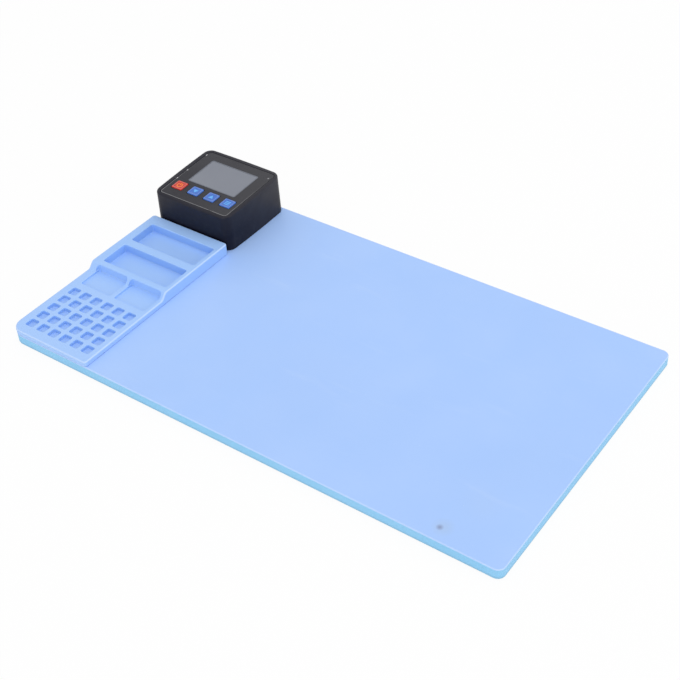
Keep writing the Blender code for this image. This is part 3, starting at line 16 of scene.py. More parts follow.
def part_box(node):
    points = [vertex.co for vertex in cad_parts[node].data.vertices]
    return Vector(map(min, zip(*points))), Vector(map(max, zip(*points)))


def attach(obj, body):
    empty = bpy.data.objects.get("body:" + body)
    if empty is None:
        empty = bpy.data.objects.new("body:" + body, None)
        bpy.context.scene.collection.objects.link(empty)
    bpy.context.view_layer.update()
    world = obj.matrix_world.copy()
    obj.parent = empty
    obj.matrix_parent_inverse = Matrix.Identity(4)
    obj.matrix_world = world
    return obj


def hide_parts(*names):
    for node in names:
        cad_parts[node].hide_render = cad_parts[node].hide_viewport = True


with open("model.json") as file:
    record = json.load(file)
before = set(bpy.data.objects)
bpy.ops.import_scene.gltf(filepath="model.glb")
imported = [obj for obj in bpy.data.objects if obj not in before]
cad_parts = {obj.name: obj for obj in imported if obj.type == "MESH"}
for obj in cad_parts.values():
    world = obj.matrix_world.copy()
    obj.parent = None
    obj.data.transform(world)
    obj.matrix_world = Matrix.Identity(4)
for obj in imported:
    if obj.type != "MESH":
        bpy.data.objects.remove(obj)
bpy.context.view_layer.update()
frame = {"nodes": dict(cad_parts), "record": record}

bl_info = {
    "name": "Screen separating heating pad",
    "version": (1, 0, 0),
    "blender": (4, 5, 0),
    "location": "3D View > Sidebar > Heating pad",
    "description": "Builds the visible pieces of a silicone heating pad with its tray and control box",
    "category": "Add Mesh",
}

PAD = "pad"
ORIGIN = (0.0, 0.0)
TINY = 0.000001

# Gap between stacked pieces, and room round a piece that is set into another
SEAM = 0.00002
CLEAR = 0.0003

# Middle of the channel for the leads, and of the slot that takes them up into the box
CHANNEL_Y = 0.0845
SLOT_X = -0.1333

# Levels and sizes in the panel's own frame, where the roof's surface is at 0
FILM_THICKNESS = 0.0005
FILM_TOP = -0.0002
DISPLAY_DEPTH = 0.0024
KEY_TOP = 0.00035
KEY_DEPTH = 0.00425
KEY_FLANGE = 0.0008
KEY_DISH = 0.00012
KEY_CLEARANCE = 0.00035
OPENING_CORNER = 0.0009
LINE_HEIGHT = 0.00004

# Half the inlet body's width and height, and the thickness of its flange
INLET_BODY = (0.0135, 0.0097)
INLET_FLANGE = 0.0016

# Name, solid, body and colour slot of each key
KEYS = (
    ("power", "power_key", "power_button", "red_key"),
    ("down", "down_key", "down_button", "blue_key"),
    ("up", "up_key", "up_button", "blue_key"),
    ("mode", "mode_key", "mode_button", "blue_key"),
)

# Name, place, aim and power of each lamp
LAMP_SIZE = 1.2
LAMPS = (
    ("top_light", (0.1, 0.2, 2.2), (-0.05, 0.0, 0.0), 12.0),
    ("front_light", (0.5, -2.3, 0.55), (0.0, 0.0, 0.0), 12.5),
    ("side_light", (2.2, 0.9, 0.8), (-0.1, 0.05, 0.02), 11.0),
)
CAMERA_LENS = 68.41223
CAMERA_PLACE = (0.39841873, -0.49742891, 0.54736513)
CAMERA_TURN = (0.86782641, 0.05214605, 0.62216559)


# Sizes and colours that a user may change


def metres(name, description, default):
    return bpy.props.FloatProperty(name=name, description=description, default=default, unit="LENGTH")


def paint(name, description, default):
    return bpy.props.FloatVectorProperty(
        name=name, description=description, default=default, subtype="COLOR", size=3
    )


class MatSizes(bpy.types.PropertyGroup):
    corner_radius: metres("Corner radius", "Radius of the mat's corners in plan", 0.005)
    tray_corner: metres("Tray corner", "Radius of the corner that mat and tray share", 0.009)
    edge_round: metres("Edge round", "Rounding of the mat's upper and lower edges", 0.0007)
    channel_width: metres("Lead channel", "Width of the channel for the leads", 0.014)
    slot_length: metres("Lead slot length", "Length of the slot under the box", 0.013)
    slot_width: metres("Lead slot width", "Width of the slot under the box", 0.007)


class TraySizes(bpy.types.PropertyGroup):
    low_height: metres("Low height", "Height of the part with the small cells", 0.0036)
    floor_height: metres("Floor height", "Height of the bins' floors", 0.0018)
    step_before_wall: metres("Step lead", "Start of the step before the square bins' wall", 0.0047)
    step_run: metres("Step run", "Length of the step between the two levels", 0.006)
    edge_round: metres("Edge round", "Rounding of the tray's outer rim", 0.0011)
    rim_round: metres("Rim round", "Rounding of the bins' rims", 0.0006)
    left_rim: metres("Left rim", "Rim left of the bins", 0.0071)
    right_rim: metres("Right rim", "Rim right of the bins", 0.0037)
    back_rim: metres("Back rim", "Rim behind the bins", 0.0098)
    long_bin: metres("Long bin", "Length of each long bin", 0.0222)
    long_rib: metres("Rib", "Rib between the long bins", 0.0068)
    high_rib: metres("Front rib", "Rib between long and square bins", 0.0046)
    square_bin: metres("Square bin", "Length of each square bin", 0.0188)
    divider: metres("Divider", "Wall between the square bins", 0.0038)
    bin_corner: metres("Bin corner", "Corner radius of the bins", 0.0016)
    cell: metres("Cell", "Side of a small cell", 0.0069)
    cell_depth: metres("Cell depth", "Depth of a small cell", 0.0028)
    cell_corner: metres("Cell corner", "Corner radius of a small cell", 0.0012)
    cell_left: metres("Left margin", "Rim to the left of the cells", 0.0065)
    cell_front: metres("Front margin", "Rim in front of the cells", 0.0076)
    column_pitch: metres("Column pitch", "Pitch of the cells across the tray", 0.0102)
    row_pitch: metres("Row pitch", "Pitch of the cells along the tray", 0.0099)
    columns: bpy.props.IntProperty(name="Columns", description="Cells across the tray", default=6)
    rows: bpy.props.IntProperty(name="Rows", description="Cells along the tray", default=5)


class BoxSizes(bpy.types.PropertyGroup):
    corner_radius: metres("Corner radius", "Radius of the box's corners", 0.0065)
    crown: metres("Crown", "How far the sides bow out", 0.0006)
    draft: metres("Draft", "How far the sides lean in over their height", 0.0004)
    top_round: metres("Top round", "Rounding of the roof's edge", 0.0016)
    wall: metres("Wall", "Wall thickness", 0.0022)
    roof: metres("Roof", "Roof thickness", 0.0026)
    film_corner: metres("Film corner", "Corner radius of the panel film", 0.003)
    film_thickness: metres("Film", "Thickness of the panel film", FILM_THICKNESS)
    key_round: metres("Key round", "Rounding of the keys' upper edges", 0.0005)
    key_corner: metres("Key corner", "Corner radius of the keys", 0.001)
    socket_width: metres("Socket width", "Width of the mains inlet's socket", 0.024)
    socket_height: metres("Socket height", "Height of the mains inlet's socket", 0.0164)
    socket_depth: metres("Socket depth", "Depth of the mains inlet's socket", 0.0165)


class PadColours(bpy.types.PropertyGroup):
    mat_top: paint("Mat top", "Colour of the mat's upper surface", (0.385, 0.575, 0.97))
    mat_edge: paint("Mat edge", "Colour of the mat's edge and underside", (0.268, 0.585, 0.87))
    tray: paint("Tray", "Colour of the parts tray", (0.345, 0.555, 0.95))
    housing: paint("Housing", "Colour of the box's plastic", (0.0032, 0.0030, 0.0115))
    film: paint("Panel film", "Colour of the panel film", (0.0075, 0.0075, 0.0145))
    display: paint("Display", "Colour of the display", (0.162, 0.178, 0.222))
    red_key: paint("Power key", "Colour of the power key", (0.54, 0.036, 0.024))
    blue_key: paint("Blue keys", "Colour of the other keys", (0.040, 0.150, 0.56))


class PadSettings(bpy.types.PropertyGroup):
    mat: bpy.props.PointerProperty(type=MatSizes)
    tray: bpy.props.PointerProperty(type=TraySizes)
    box: bpy.props.PointerProperty(type=BoxSizes)
    colours: bpy.props.PointerProperty(type=PadColours)


# Plans and solids


def span(node):
    """Lowest corner, highest corner and middle of a solid of the frame."""
    low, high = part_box(node)
    return low, high, (low + high) / 2


def about(middle, half, low, high):
    """Lowest and highest corner of a box round an upright line, between two levels."""
    return (middle[0] - half[0], middle[1] - half[1], low), (middle[0] + half[0], middle[1] + half[1], high)


def rounded_plan(low, high, corner, steps, front_left=None):
    """Points, anticlockwise, of a round-cornered rectangle; its front left corner may be of its own size."""
    (x0, y0), (x1, y1) = low[:2], high[:2]
    points = []
    corners = ((x1, y1, -1, -1), (x0, y1, 1, -1), (x0, y0, 1, 1), (x1, y0, -1, 1))
    for quarter, (x, y, inward_x, inward_y) in enumerate(corners):
        radius = front_left if front_left and quarter == 2 else corner
        centre_x, centre_y = x + inward_x * radius, y + inward_y * radius
        for step in range(steps + 1):
            angle = (quarter + step / steps) * math.pi / 2
            points.append((centre_x + radius * math.cos(angle), centre_y + radius * math.sin(angle)))
    return points


def bowed_plan(size, radius, inset, crown, steps=14):
    """Points of the box's plan about its middle: a round-cornered rectangle whose sides bow out a little."""
    half_x, half_y = size[0] / 2 - crown, size[1] / 2 - crown
    high = (half_x - inset, half_y - inset)
    square = rounded_plan((-high[0], -high[1]), high, max(radius - inset, 0.001), steps)
    plan = []
    for index, (x, y) in enumerate(square):
        after_x, after_y = square[(index + 1) % len(square)]
        parts = steps if math.hypot(after_x - x, after_y - y) > radius else 1
        for part in range(parts):
            at_x = x + (after_x - x) * part / parts
            at_y = y + (after_y - y) * part / parts
            bow_x = 1 + crown / half_x * (1 - (at_y / half_y) ** 2)
            bow_y = 1 + crown / half_y * (1 - (at_x / half_x) ** 2)
            plan.append((at_x * bow_x, at_y * bow_y))
    return plan


def quarter_steps(radius, steps):
    """Pairs of (inward, down) along a quarter round, from its foot on the wall to the flat above."""
    angles = [step / steps * math.pi / 2 for step in range(steps + 1)]
    return [(radius * (1 - math.cos(angle)), radius * (1 - math.sin(angle))) for angle in angles]


def new_piece(name, mesh):
    piece = bpy.data.objects.new(name, mesh)
    bpy.context.scene.collection.objects.link(piece)
    return piece


def mesh_of(name, shape):
    mesh = bpy.data.meshes.new(name)
    shape.to_mesh(mesh)
    shape.free()
    return mesh


def add_skin(shape, rings, hollow=False):
    """Adds a closed skin through rings with the same number of points, from the lowest up.

    A hollow one joins its last ring to its first instead of having two ends.
    """
    loops = [[shape.verts.new(point) for point in ring] for ring in rings]
    for lower, upper in zip(loops, loops[1:] + (loops[:1] if hollow else [])):
        for index, vert in enumerate(lower):
            after = (index + 1) % len(lower)
            shape.faces.new((vert, lower[after], upper[after], upper[index]))
    if not hollow:
        shape.faces.new(loops[0][::-1])
        shape.faces.new(loops[-1])


def stacked(name, rings, place=None, hollow=False):
    """A new piece whose skin runs through these rings."""
    shape = bmesh.new()
    add_skin(shape, rings, hollow)
    if place:
        bmesh.ops.transform(shape, matrix=place, verts=shape.verts)
    return new_piece(name, mesh_of(name, shape))


def upright(plan, low, high):
    """The lower and the upper ring of a plan with straight sides."""
    return [[(x, y, z) for x, y in plan] for z in (low, high)]


def block(name, low, high, corner=0.0, steps=4, place=None):
    """A straight-sided block between two corners, with rounded upright edges where asked."""
    plan = [(high[0], high[1]), (low[0], high[1]), (low[0], low[1]), (high[0], low[1])]
    if corner:
        plan = rounded_plan(low, high, corner, steps)
    return stacked(name, upright(plan, low[2], high[2]), place)


def turned(name, centre, radius, low, high, place=None, steps=24):
    """An upright rod."""
    x, y = centre[:2]
    angles = [step / steps * 2 * math.pi for step in range(steps)]
    circle = [(x + radius * math.cos(angle), y + radius * math.sin(angle)) for angle in angles]
    return stacked(name, upright(circle, low, high), place)


def soft_solid(name, low, high, corner, levels, steps, least=0.0001, back=1.0, front_left=None, place=None):
    """A solid over a round-cornered rectangle that grows at each level by what (height, growth) says.

    The back side grows by its own share, and no corner's radius is under the least.
    """
    rings = []
    for level, grown in levels:
        far = grown * back if grown > 0 else grown
        own = front_left + grown if front_left else None
        plan = rounded_plan((low[0] - grown, low[1] - grown), (high[0] + grown, high[1] + far),
                            max(corner + grown, least), steps, own)
        rings.append([(x, y, level) for x, y in plan])
    return stacked(name, rings, place)


def slab(name, low, high, corner, bottom_round=0.0, top_round=0.0, steps=5, corner_steps=20, **others):
    """A slab with a round-cornered plan and soft lower and upper edges."""
    levels = [(low[2], 0.0)]
    if bottom_round:
        levels = [(low[2] + down, -inward) for inward, down in quarter_steps(bottom_round, steps)[::-1]]
    if top_round:
        levels += [(high[2] - down, -inward) for inward, down in quarter_steps(top_round, steps)]
    else:
        levels.append((high[2], 0.0))
    return soft_solid(name, low, high, corner, levels, corner_steps, **others)


def well(name, low, high, corner, floor, rim, flare, floor_round=0.0, steps=5, over=0.003, **others):
    """A cutter with an even floor that flares to a soft edge at rim, the surface around it."""
    levels = [(floor, 0.0)]
    if floor_round:
        levels = [(floor + inward, -down) for inward, down in quarter_steps(floor_round, steps)]
    levels += [(rim - down, inward) for inward, down in quarter_steps(flare, steps)]
    levels.append((rim + over, flare))
    return soft_solid(name, low, high, corner, levels, steps + 1, **others)


def plain_mesh(piece):
    """Replaces a piece's mesh by what its modifiers make of it."""
    evaluated = piece.evaluated_get(bpy.context.evaluated_depsgraph_get())
    mesh = bpy.data.meshes.new_from_object(evaluated)
    mesh.name = piece.name
    piece.modifiers.clear()
    piece.data = mesh


def combine(piece, others, operation="DIFFERENCE"):
    """Cuts the others out of a piece, or joins them to it, and removes them."""
    for other in others:
        step = piece.modifiers.new("step", "BOOLEAN")
        step.operation = operation
        step.solver = "EXACT"
        step.object = other
    plain_mesh(piece)
    for other in others:
        bpy.data.objects.remove(other, do_unlink=True)


def merge(piece, reach, change):
    """Merges points nearer than reach, and applies one more change to the mesh."""
    shape = bmesh.new()
    shape.from_mesh(piece.data)
    bmesh.ops.remove_doubles(shape, verts=shape.verts, dist=reach)
    change(shape)
    shape.to_mesh(piece.data)
    shape.free()


def shade(piece, angle):
    """Smooth faces, with sharp edges past this angle and flats that keep their own normal."""
    reach = 2 * TINY
    merge(piece, reach, lambda shape: bmesh.ops.dissolve_degenerate(shape, dist=reach, edges=shape.edges))
    piece.data.shade_smooth()
    piece.data.set_sharp_from_angle(angle=math.radians(angle))
    weigh = piece.modifiers.new("weigh", "WEIGHTED_NORMAL")
    weigh.keep_sharp = True
    plain_mesh(piece)


def finish_piece(piece, body, *materials, replaces=(), slot=None, angle=32.0):
    """Shades a piece, gives it its materials, and hangs it on its body in place of its solids."""
    shade(piece, angle)
    if materials:
        piece.data.materials.clear()
        for material in materials:
            piece.data.materials.append(material)
    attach(piece, body)
    if replaces:
        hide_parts(*replaces)


def colour_faces(piece, choose):
    """Gives each face the material slot that choose(normal, centre) names."""
    for face in piece.data.polygons:
        face.material_index = choose(face.normal, face.center)


# Materials


def add_node(tree, kind, **values):
    node = tree.nodes.new(kind)
    for name, value in values.items():
        if name in node.inputs.keys():
            node.inputs[name].default_value = value
        else:
            setattr(node, name, value)
    return node


class Finish:
    """A Principled material that is built up step by step from Object coordinates."""

    def __init__(self, name, colour, roughness, metallic=0.0, specular=0.5, coat=0.0, coat_roughness=0.1,
                 transmission=0.0):
        self.material = bpy.data.materials.new(name)
        self.material.use_nodes = True
        self.tree = self.material.node_tree
        self.shader = self.tree.nodes["Principled BSDF"]
        self.colour = (*colour, 1.0)
        self.colour_out = None
        self.normal = None
        for socket, value in (
            ("Base Color", self.colour), ("Roughness", roughness), ("Metallic", metallic),
            ("Specular IOR Level", specular), ("Coat Weight", coat), ("Coat Roughness", coat_roughness),
            ("Transmission Weight", transmission),
        ):
            self.shader.inputs[socket].default_value = value
        self.where = add_node(self.tree, "ShaderNodeTexCoord").outputs["Object"]

    def fed(self, kind, socket, source, **values):
        """A new node with a source linked to one of its sockets."""
        node = add_node(self.tree, kind, **values)
        self.tree.links.new(source, node.inputs[socket])
        return node

    def noise(self, scale, detail=2.0, roughness=0.5, stretch=None):
        """A noise between 0 and 1, scale being its number of cells in a metre."""
        source = self.where
        if stretch:
            source = self.fed("ShaderNodeMapping", "Vector", source, Scale=stretch).outputs["Vector"]
        values = {"Scale": scale, "Detail": detail, "Roughness": roughness}
        return self.fed("ShaderNodeTexNoise", "Vector", source, **values).outputs["Fac"]

    def height(self):
        """The surface's own Z coordinate."""
        return self.fed("ShaderNodeSeparateXYZ", "Vector", self.where).outputs["Z"]

    def distance_from(self, point):
        node = self.fed("ShaderNodeVectorMath", 0, self.where, operation="DISTANCE")
        node.inputs[1].default_value = point
        return node.outputs["Value"]

    def ranged(self, value, limits, results):
        """Turns a value that lies between two limits into one that lies between two results."""
        names = ("From Min", "From Max", "To Min", "To Max")
        node = self.fed("ShaderNodeMapRange", "Value", value, **dict(zip(names, (*limits, *results))))
        return node.outputs["Result"]

    def tint(self, value, limits, shares, colour):
        """Mixes a colour in by a share that changes as a value goes from its first limit to its second."""
        node = self.fed("ShaderNodeMix", "Factor", self.ranged(value, limits, shares), data_type="RGBA")
        node.inputs[6].default_value = self.colour
        if self.colour_out:
            self.tree.links.new(self.colour_out, node.inputs[6])
        node.inputs[7].default_value = (*colour, 1.0)
        self.colour_out = node.outputs[2]
        self.tree.links.new(self.colour_out, self.shader.inputs["Base Color"])

    def vary_roughness(self, value, low, high):
        self.tree.links.new(self.ranged(value, (0.3, 0.7), (low, high)), self.shader.inputs["Roughness"])

    def bump(self, height, distance, strength):
        node = self.fed("ShaderNodeBump", "Height", height, Strength=strength, Distance=distance)
        if self.normal:
            self.tree.links.new(self.normal, node.inputs["Normal"])
        self.normal = node.outputs["Normal"]
        self.tree.links.new(self.normal, self.shader.inputs["Normal"])


def lighter(colour, share):
    return tuple(part + (1 - part) * share for part in colour)


def darker(colour, share):
    return tuple(part * (1 - share) for part in colour)


def silicone(name, colour, specular=0.35, painted_shade_low=None):
    """Satin silicone rubber: soft mottling, its mould's stipple and, if asked, painted shade low down."""
    finish = Finish(name, colour, 0.5, specular=specular)
    finish.tint(finish.noise(26.0, 3.0), (0.35, 0.75), (0.0, 1.0), lighter(colour, 0.035))
    finish.tint(finish.noise(9.0), (0.45, 0.75), (0.0, 0.5), darker(colour, 0.035))
    if painted_shade_low:
        # Painted shade: darker towards the bottom, where shade falls at the foot
        limits, deep = painted_shade_low
        finish.tint(finish.height(), limits, (1.0, 0.0), deep)
    finish.vary_roughness(finish.noise(60.0, 4.0), 0.44, 0.58)
    finish.bump(finish.noise(2600.0), 0.00002, 0.5)
    finish.bump(finish.noise(140.0, 3.0), 0.00006, 0.35)
    return finish


def mat_top_finish(colour):
    """The mat's working surface: silicone with faint wipe marks, dust and one small scorch near the front."""
    finish = silicone("mat_top_silicone", colour)
    wiped = finish.noise(55.0, 5.0, 0.6, stretch=(0.25, 1.6, 1.0))
    finish.tint(wiped, (0.62, 0.80), (0.0, 0.20), lighter(colour, 0.25))
    finish.tint(finish.noise(900.0, 1.0), (0.78, 0.84), (0.0, 0.45), (0.93, 0.95, 1.0))
    halo = ((0.1448, -0.0946, 0.0078), (0.0016, 0.0072), 0.5, (0.39, 0.53, 0.76))
    scorch = ((0.1432, -0.0957, 0.0078), (0.0003, 0.0025), 0.8, (0.22, 0.26, 0.42))
    smudge = ((0.1551, -0.0681, 0.0078), (0.004, 0.016), 0.16, (0.40, 0.56, 0.86))
    for middle, reach, share, tone in (halo, scorch, smudge):
        finish.tint(finish.distance_from(middle), reach, (share, 0.0), tone)
    return finish.material


def moulded_plastic(name, colour, roughness, specular=0.3, grain=1900.0, painted_sheen_top=None, painted_reflection=None):
    """Fine-grained ABS: an even spark-eroded texture with slight wear in its gloss.

    Where asked it gets a painted sheen, paler with height, and a painted reflection towards one corner.
    """
    finish = Finish(name, colour, roughness, specular=specular)
    finish.tint(finish.noise(300.0, 3.0), (0.5, 0.75), (0.0, 0.5), lighter(colour, 0.012))
    if painted_sheen_top:
        # Painted sheen: paler with height
        limits, pale = painted_sheen_top
        finish.tint(finish.height(), limits, (0.0, 1.0), pale)
    if painted_reflection:
        # Painted reflection: paler near one corner
        corner, reach, pale = painted_reflection
        finish.tint(finish.distance_from(corner), (0.0, reach), (1.0, 0.0), pale)
    finish.vary_roughness(finish.noise(120.0, 4.0), roughness - 0.05, roughness + 0.08)
    finish.bump(finish.noise(grain), 0.00003, 0.55)
    return finish.material


def coated_film(name, colour, front, glint_spot):
    """Hard-coated film with a fine velvet texture, painted paler away from its front, and one painted glint.
    """
    finish = Finish(name, colour, 0.36, specular=0.33)
    finish.tint(finish.noise(500.0), (0.45, 0.75), (0.0, 0.6), lighter(colour, 0.006))
    # Painted light: the film grows paler away from its front corner
    finish.tint(finish.distance_from(front), (0.02, 0.08), (0.0, 1.0), lighter(colour, 0.021))
    # Painted glint: a small pale spot near the film's back right corner
    finish.tint(finish.distance_from(glint_spot), (0.0002, 0.0009), (0.7, 0.0), (0.45, 0.45, 0.47))
    finish.vary_roughness(finish.noise(90.0, 3.0), 0.32, 0.44)
    finish.bump(finish.noise(5200.0, 1.0), 0.00001, 0.5)
    return finish.material


def display_finish(colour):
    """Grey liquid crystal seen through a clear pane, slightly uneven and softly glossy."""
    finish = Finish("display_glass", colour, 0.3, coat=0.4, coat_roughness=0.12)
    finish.tint(finish.noise(28.0), (0.4, 0.7), (0.0, 0.4), lighter(colour, 0.04))
    finish.vary_roughness(finish.noise(60.0, 3.0), 0.28, 0.34)
    finish.bump(finish.noise(4200.0, 1.0), 0.000004, 0.2)
    return finish.material


def highlight_line(name, colour, ground, fade=None, glints=()):
    """Thin light line painted as a highlight, broken to its ground in places and, if asked, fading with
    distance and with painted glints.
    """
    finish = Finish(name, colour, 0.45, specular=0.4)
    # Painted highlight: the line fades to its ground with distance, breaks up in places and has painted
    # glints
    if fade:
        point, limits = fade
        finish.tint(finish.distance_from(point), limits, (0.0, 0.85), ground)
    finish.tint(finish.noise(170.0, 3.0, 0.6), (0.56, 0.70), (0.0, 0.8), ground)
    for glint in glints:
        finish.tint(finish.distance_from(glint), (0.0003, 0.0012), (0.9, 0.0), (0.85, 0.85, 0.87))
    finish.vary_roughness(finish.noise(300.0), 0.4, 0.55)
    finish.bump(finish.noise(4000.0), 0.00001, 0.3)
    return finish.material


def key_finish(name, colour, pale):
    """Satin key plastic that is a little paler in places."""
    finish = Finish(name, colour, 0.38, specular=0.4)
    finish.tint(finish.noise(420.0), (0.4, 0.7), (0.0, 0.5), pale)
    finish.vary_roughness(finish.noise(260.0), 0.32, 0.44)
    finish.bump(finish.noise(3600.0, 1.0), 0.00001, 0.4)
    return finish.material


def metal_finish(name, colour, roughness, stretch):
    """Bare metal with streaks along the way that it was rolled or drawn."""
    finish = Finish(name, colour, roughness, metallic=1.0)
    finish.tint(finish.noise(180.0, 4.0), (0.4, 0.7), (0.0, 0.6), darker(colour, 0.18))
    streaks = finish.noise(900.0, 3.0, stretch=stretch)
    finish.vary_roughness(streaks, roughness - 0.06, roughness + 0.12)
    finish.bump(streaks, 0.00002, 0.3)
    return finish.material


def board_finish(name, colour):
    """Green solder mask over a woven board, with a hint of the copper under it."""
    finish = Finish(name, colour, 0.35, coat=0.3)
    copper = finish.noise(700.0, 1.0, stretch=(4.0, 1.0, 1.0))
    finish.tint(copper, (0.5, 0.56), (0.0, 0.5), lighter(colour, 0.06))
    weave = finish.fed("ShaderNodeTexWave", "Vector", finish.where, Scale=900.0)
    finish.vary_roughness(finish.noise(200.0), 0.28, 0.42)
    finish.bump(weave.outputs["Fac"], 0.00002, 0.3)
    return finish.material


def fibre_finish(name, colour):
    finish = Finish(name, colour, 0.95, specular=0.1)
    fibres = finish.noise(1500.0, 5.0, 0.7, stretch=(1.0, 3.0, 1.0))
    finish.tint(fibres, (0.4, 0.65), (0.0, 1.0), darker(colour, 0.22))
    finish.bump(fibres, 0.0001, 0.7)
    return finish.material


def glass_finish(name, colour):
    finish = Finish(name, colour, 0.08, transmission=0.8)
    finish.vary_roughness(finish.noise(90.0), 0.05, 0.12)
    finish.bump(finish.noise(300.0), 0.00001, 0.2)
    return finish.material


def finishes_by_slot():
    """Materials of the solids that stay as they are, most of them inside the box and the mat."""
    finishes = {
        "felt": fibre_finish("glass_felt", (0.75, 0.72, 0.64)),
        "circuit_board": board_finish("solder_mask", (0.02, 0.16, 0.07)),
        "glass_tube": glass_finish("fuse_glass", (0.78, 0.84, 0.84)),
    }
    for slot, name, colour, roughness, stretch in (
        ("heater_foil", "resistance_foil", (0.60, 0.50, 0.38), 0.32, (1.0, 6.0, 1.0)),
        ("aluminium", "rolled_aluminium", (0.75, 0.75, 0.77), 0.34, (0.3, 8.0, 1.0)),
        ("brass", "inlet_brass", (0.72, 0.56, 0.27), 0.25, (6.0, 0.5, 6.0)),
        ("steel", "zinc_steel", (0.55, 0.55, 0.57), 0.33, (5.0, 5.0, 1.0)),
    ):
        finishes[slot] = metal_finish(name, colour, roughness, stretch)
    for slot, name, colour, roughness in (
        ("red_wire", "red_insulation", (0.60, 0.03, 0.03), 0.4),
        ("blue_wire", "blue_insulation", (0.03, 0.10, 0.55), 0.4),
        ("green_wire", "green_insulation", (0.10, 0.42, 0.06), 0.4),
        ("white_wire", "white_insulation", (0.80, 0.80, 0.78), 0.45),
        ("terminal_green", "terminal_plastic", (0.03, 0.28, 0.09), 0.45),
        ("chip_black", "chip_resin", (0.02, 0.02, 0.02), 0.55),
        ("ferrite", "varnished_ferrite", (0.06, 0.06, 0.07), 0.38),
        ("capacitor_sleeve", "shrunk_sleeve", (0.03, 0.05, 0.16), 0.25),
        ("display_body", "display_frame", (0.20, 0.22, 0.25), 0.4),
        ("black_plastic", "base_plastic", (0.012, 0.013, 0.020), 0.5),
    ):
        finishes[slot] = moulded_plastic(name, colour, roughness)
    return finishes


# Geometry Nodes for what repeats or follows a path


def wire(tree, *links):
    """Links nodes, each link being a node, its output, another node and its input."""
    for source, output, target, socket in links:
        tree.links.new(source.outputs[output], target.inputs[socket])


def new_tree(name, **sockets):
    """An empty Geometry Nodes tree with named inputs, and its two end nodes."""
    tree = bpy.data.node_groups.new(name, "GeometryNodeTree")
    tree.interface.new_socket("Geometry", in_out="OUTPUT", socket_type="NodeSocketGeometry")
    for label, kind in sockets.items():
        tree.interface.new_socket(label.replace("_", " "), in_out="INPUT", socket_type="NodeSocket" + kind)
    return tree, tree.nodes.new("NodeGroupInput"), tree.nodes.new("NodeGroupOutput")


def close_tree(tree, start, end, last, output):
    """Realizes what the last node made, gives it the tree's material and sends it out."""
    real = tree.nodes.new("GeometryNodeRealizeInstances")
    coat = tree.nodes.new("GeometryNodeSetMaterial")
    wire(
        tree, (last, output, real, "Geometry"), (real, "Geometry", coat, "Geometry"),
        (start, "Material", coat, "Material"), (coat, "Geometry", end, "Geometry"),
    )
    return tree


def line_tree():
    """A raised line of even width that runs round a rectangle with round corners."""
    tree, start, end = new_tree(
        "line_round_rectangle", Width="Float", Length="Float", Corner="Float", Line_Width="Float",
        Line_Height="Float", Material="Material",
    )
    path = tree.nodes.new("GeometryNodeCurvePrimitiveQuadrilateral")
    corners = add_node(tree, "GeometryNodeFilletCurve", mode="POLY", Count=10)
    profile = tree.nodes.new("GeometryNodeCurvePrimitiveQuadrilateral")
    sweep = tree.nodes.new("GeometryNodeCurveToMesh")
    wire(
        tree, (start, "Width", path, "Width"), (start, "Length", path, "Height"),
        (path, "Curve", corners, "Curve"), (start, "Corner", corners, "Radius"),
        (start, "Line Width", profile, "Width"), (start, "Line Height", profile, "Height"),
        (corners, "Curve", sweep, "Curve"), (profile, "Curve", sweep, "Profile Curve"),
    )
    return close_tree(tree, start, end, sweep, "Mesh")


def grid_tree():
    """A solid repeated over a grid of points about the origin."""
    tree, start, end = new_tree(
        "solid_over_grid", Solid="Object", Columns="Int", Rows="Int", Span_Across="Float", Span_Along="Float",
        Material="Material",
    )
    grid = tree.nodes.new("GeometryNodeMeshGrid")
    solid = tree.nodes.new("GeometryNodeObjectInfo")
    copies = tree.nodes.new("GeometryNodeInstanceOnPoints")
    wire(
        tree, (start, "Span Across", grid, "Size X"), (start, "Span Along", grid, "Size Y"),
        (start, "Columns", grid, "Vertices X"), (start, "Rows", grid, "Vertices Y"),
        (start, "Solid", solid, "Object"), (grid, "Mesh", copies, "Points"),
        (solid, "Geometry", copies, "Instance"),
    )
    return close_tree(tree, start, end, copies, "Instances")


def grow(name, tree, values, place):
    """What a tree makes from these named values, as a plain mesh in its place."""
    piece = new_piece(name, bpy.data.meshes.new(name))
    step = piece.modifiers.new("grow", "NODES")
    step.node_group = tree
    for socket in tree.interface.items_tree:
        if socket.in_out == "INPUT":
            step[socket.identifier] = values[socket.name]
    plain_mesh(piece)
    piece.data.transform(place)
    return piece


def framing_line(name, tree, half, margin, corner, width, ink, place, body=PAD, slot="panel_film"):
    """A fine raised line round a rectangle, with its middle lying margin outside it."""
    values = {
        "Width": 2 * (half[0] + margin), "Length": 2 * (half[1] + margin), "Corner": corner,
        "Line Width": width, "Line Height": LINE_HEIGHT, "Material": ink,
    }
    line = grow(name, tree, values, place)
    merge(line, TINY, lambda shape: bmesh.ops.recalc_face_normals(shape, faces=shape.faces))
    finish_piece(line, body, slot=slot)


# The panel's own frame, the roof's plane and the inlet's frame


def panel_place():
    """The matrix from the panel's frame, whose XY plane is the roof's, to the world."""
    axis = Vector(frame["record"]["behaviour"]["joints"][0]["axis"]).normalized()
    on_roof = span("panel_overlay")[2] + axis * (FILM_THICKNESS / 2 - FILM_TOP)
    return Matrix.Translation(on_roof) @ Matrix.Rotation(math.atan2(-axis.y, axis.z), 4, "X")


def on_panel(node):
    """Middle of a solid in the panel's frame."""
    return panel_place().inverted() @ span(node)[2]


def half_size(node, thick, brim=0.0):
    """Half the width and length, in the panel's plane, of a solid of this thickness, less its brim."""
    low, high, _ = span(node)
    along = panel_place().col[1]
    return (high.x - low.x) / 2 - brim, (high.y - low.y - thick * along.z) / along.y / 2 - brim


def key_half(node):
    return half_size(node, KEY_DEPTH - KEY_FLANGE, KEY_FLANGE)


def roof_level(y, drop):
    """Height, at this y, of a plane that lies drop below the roof."""
    place = panel_place()
    along = place.col[1]
    return place.translation.z + along.z / along.y * (y - place.translation.y) - drop


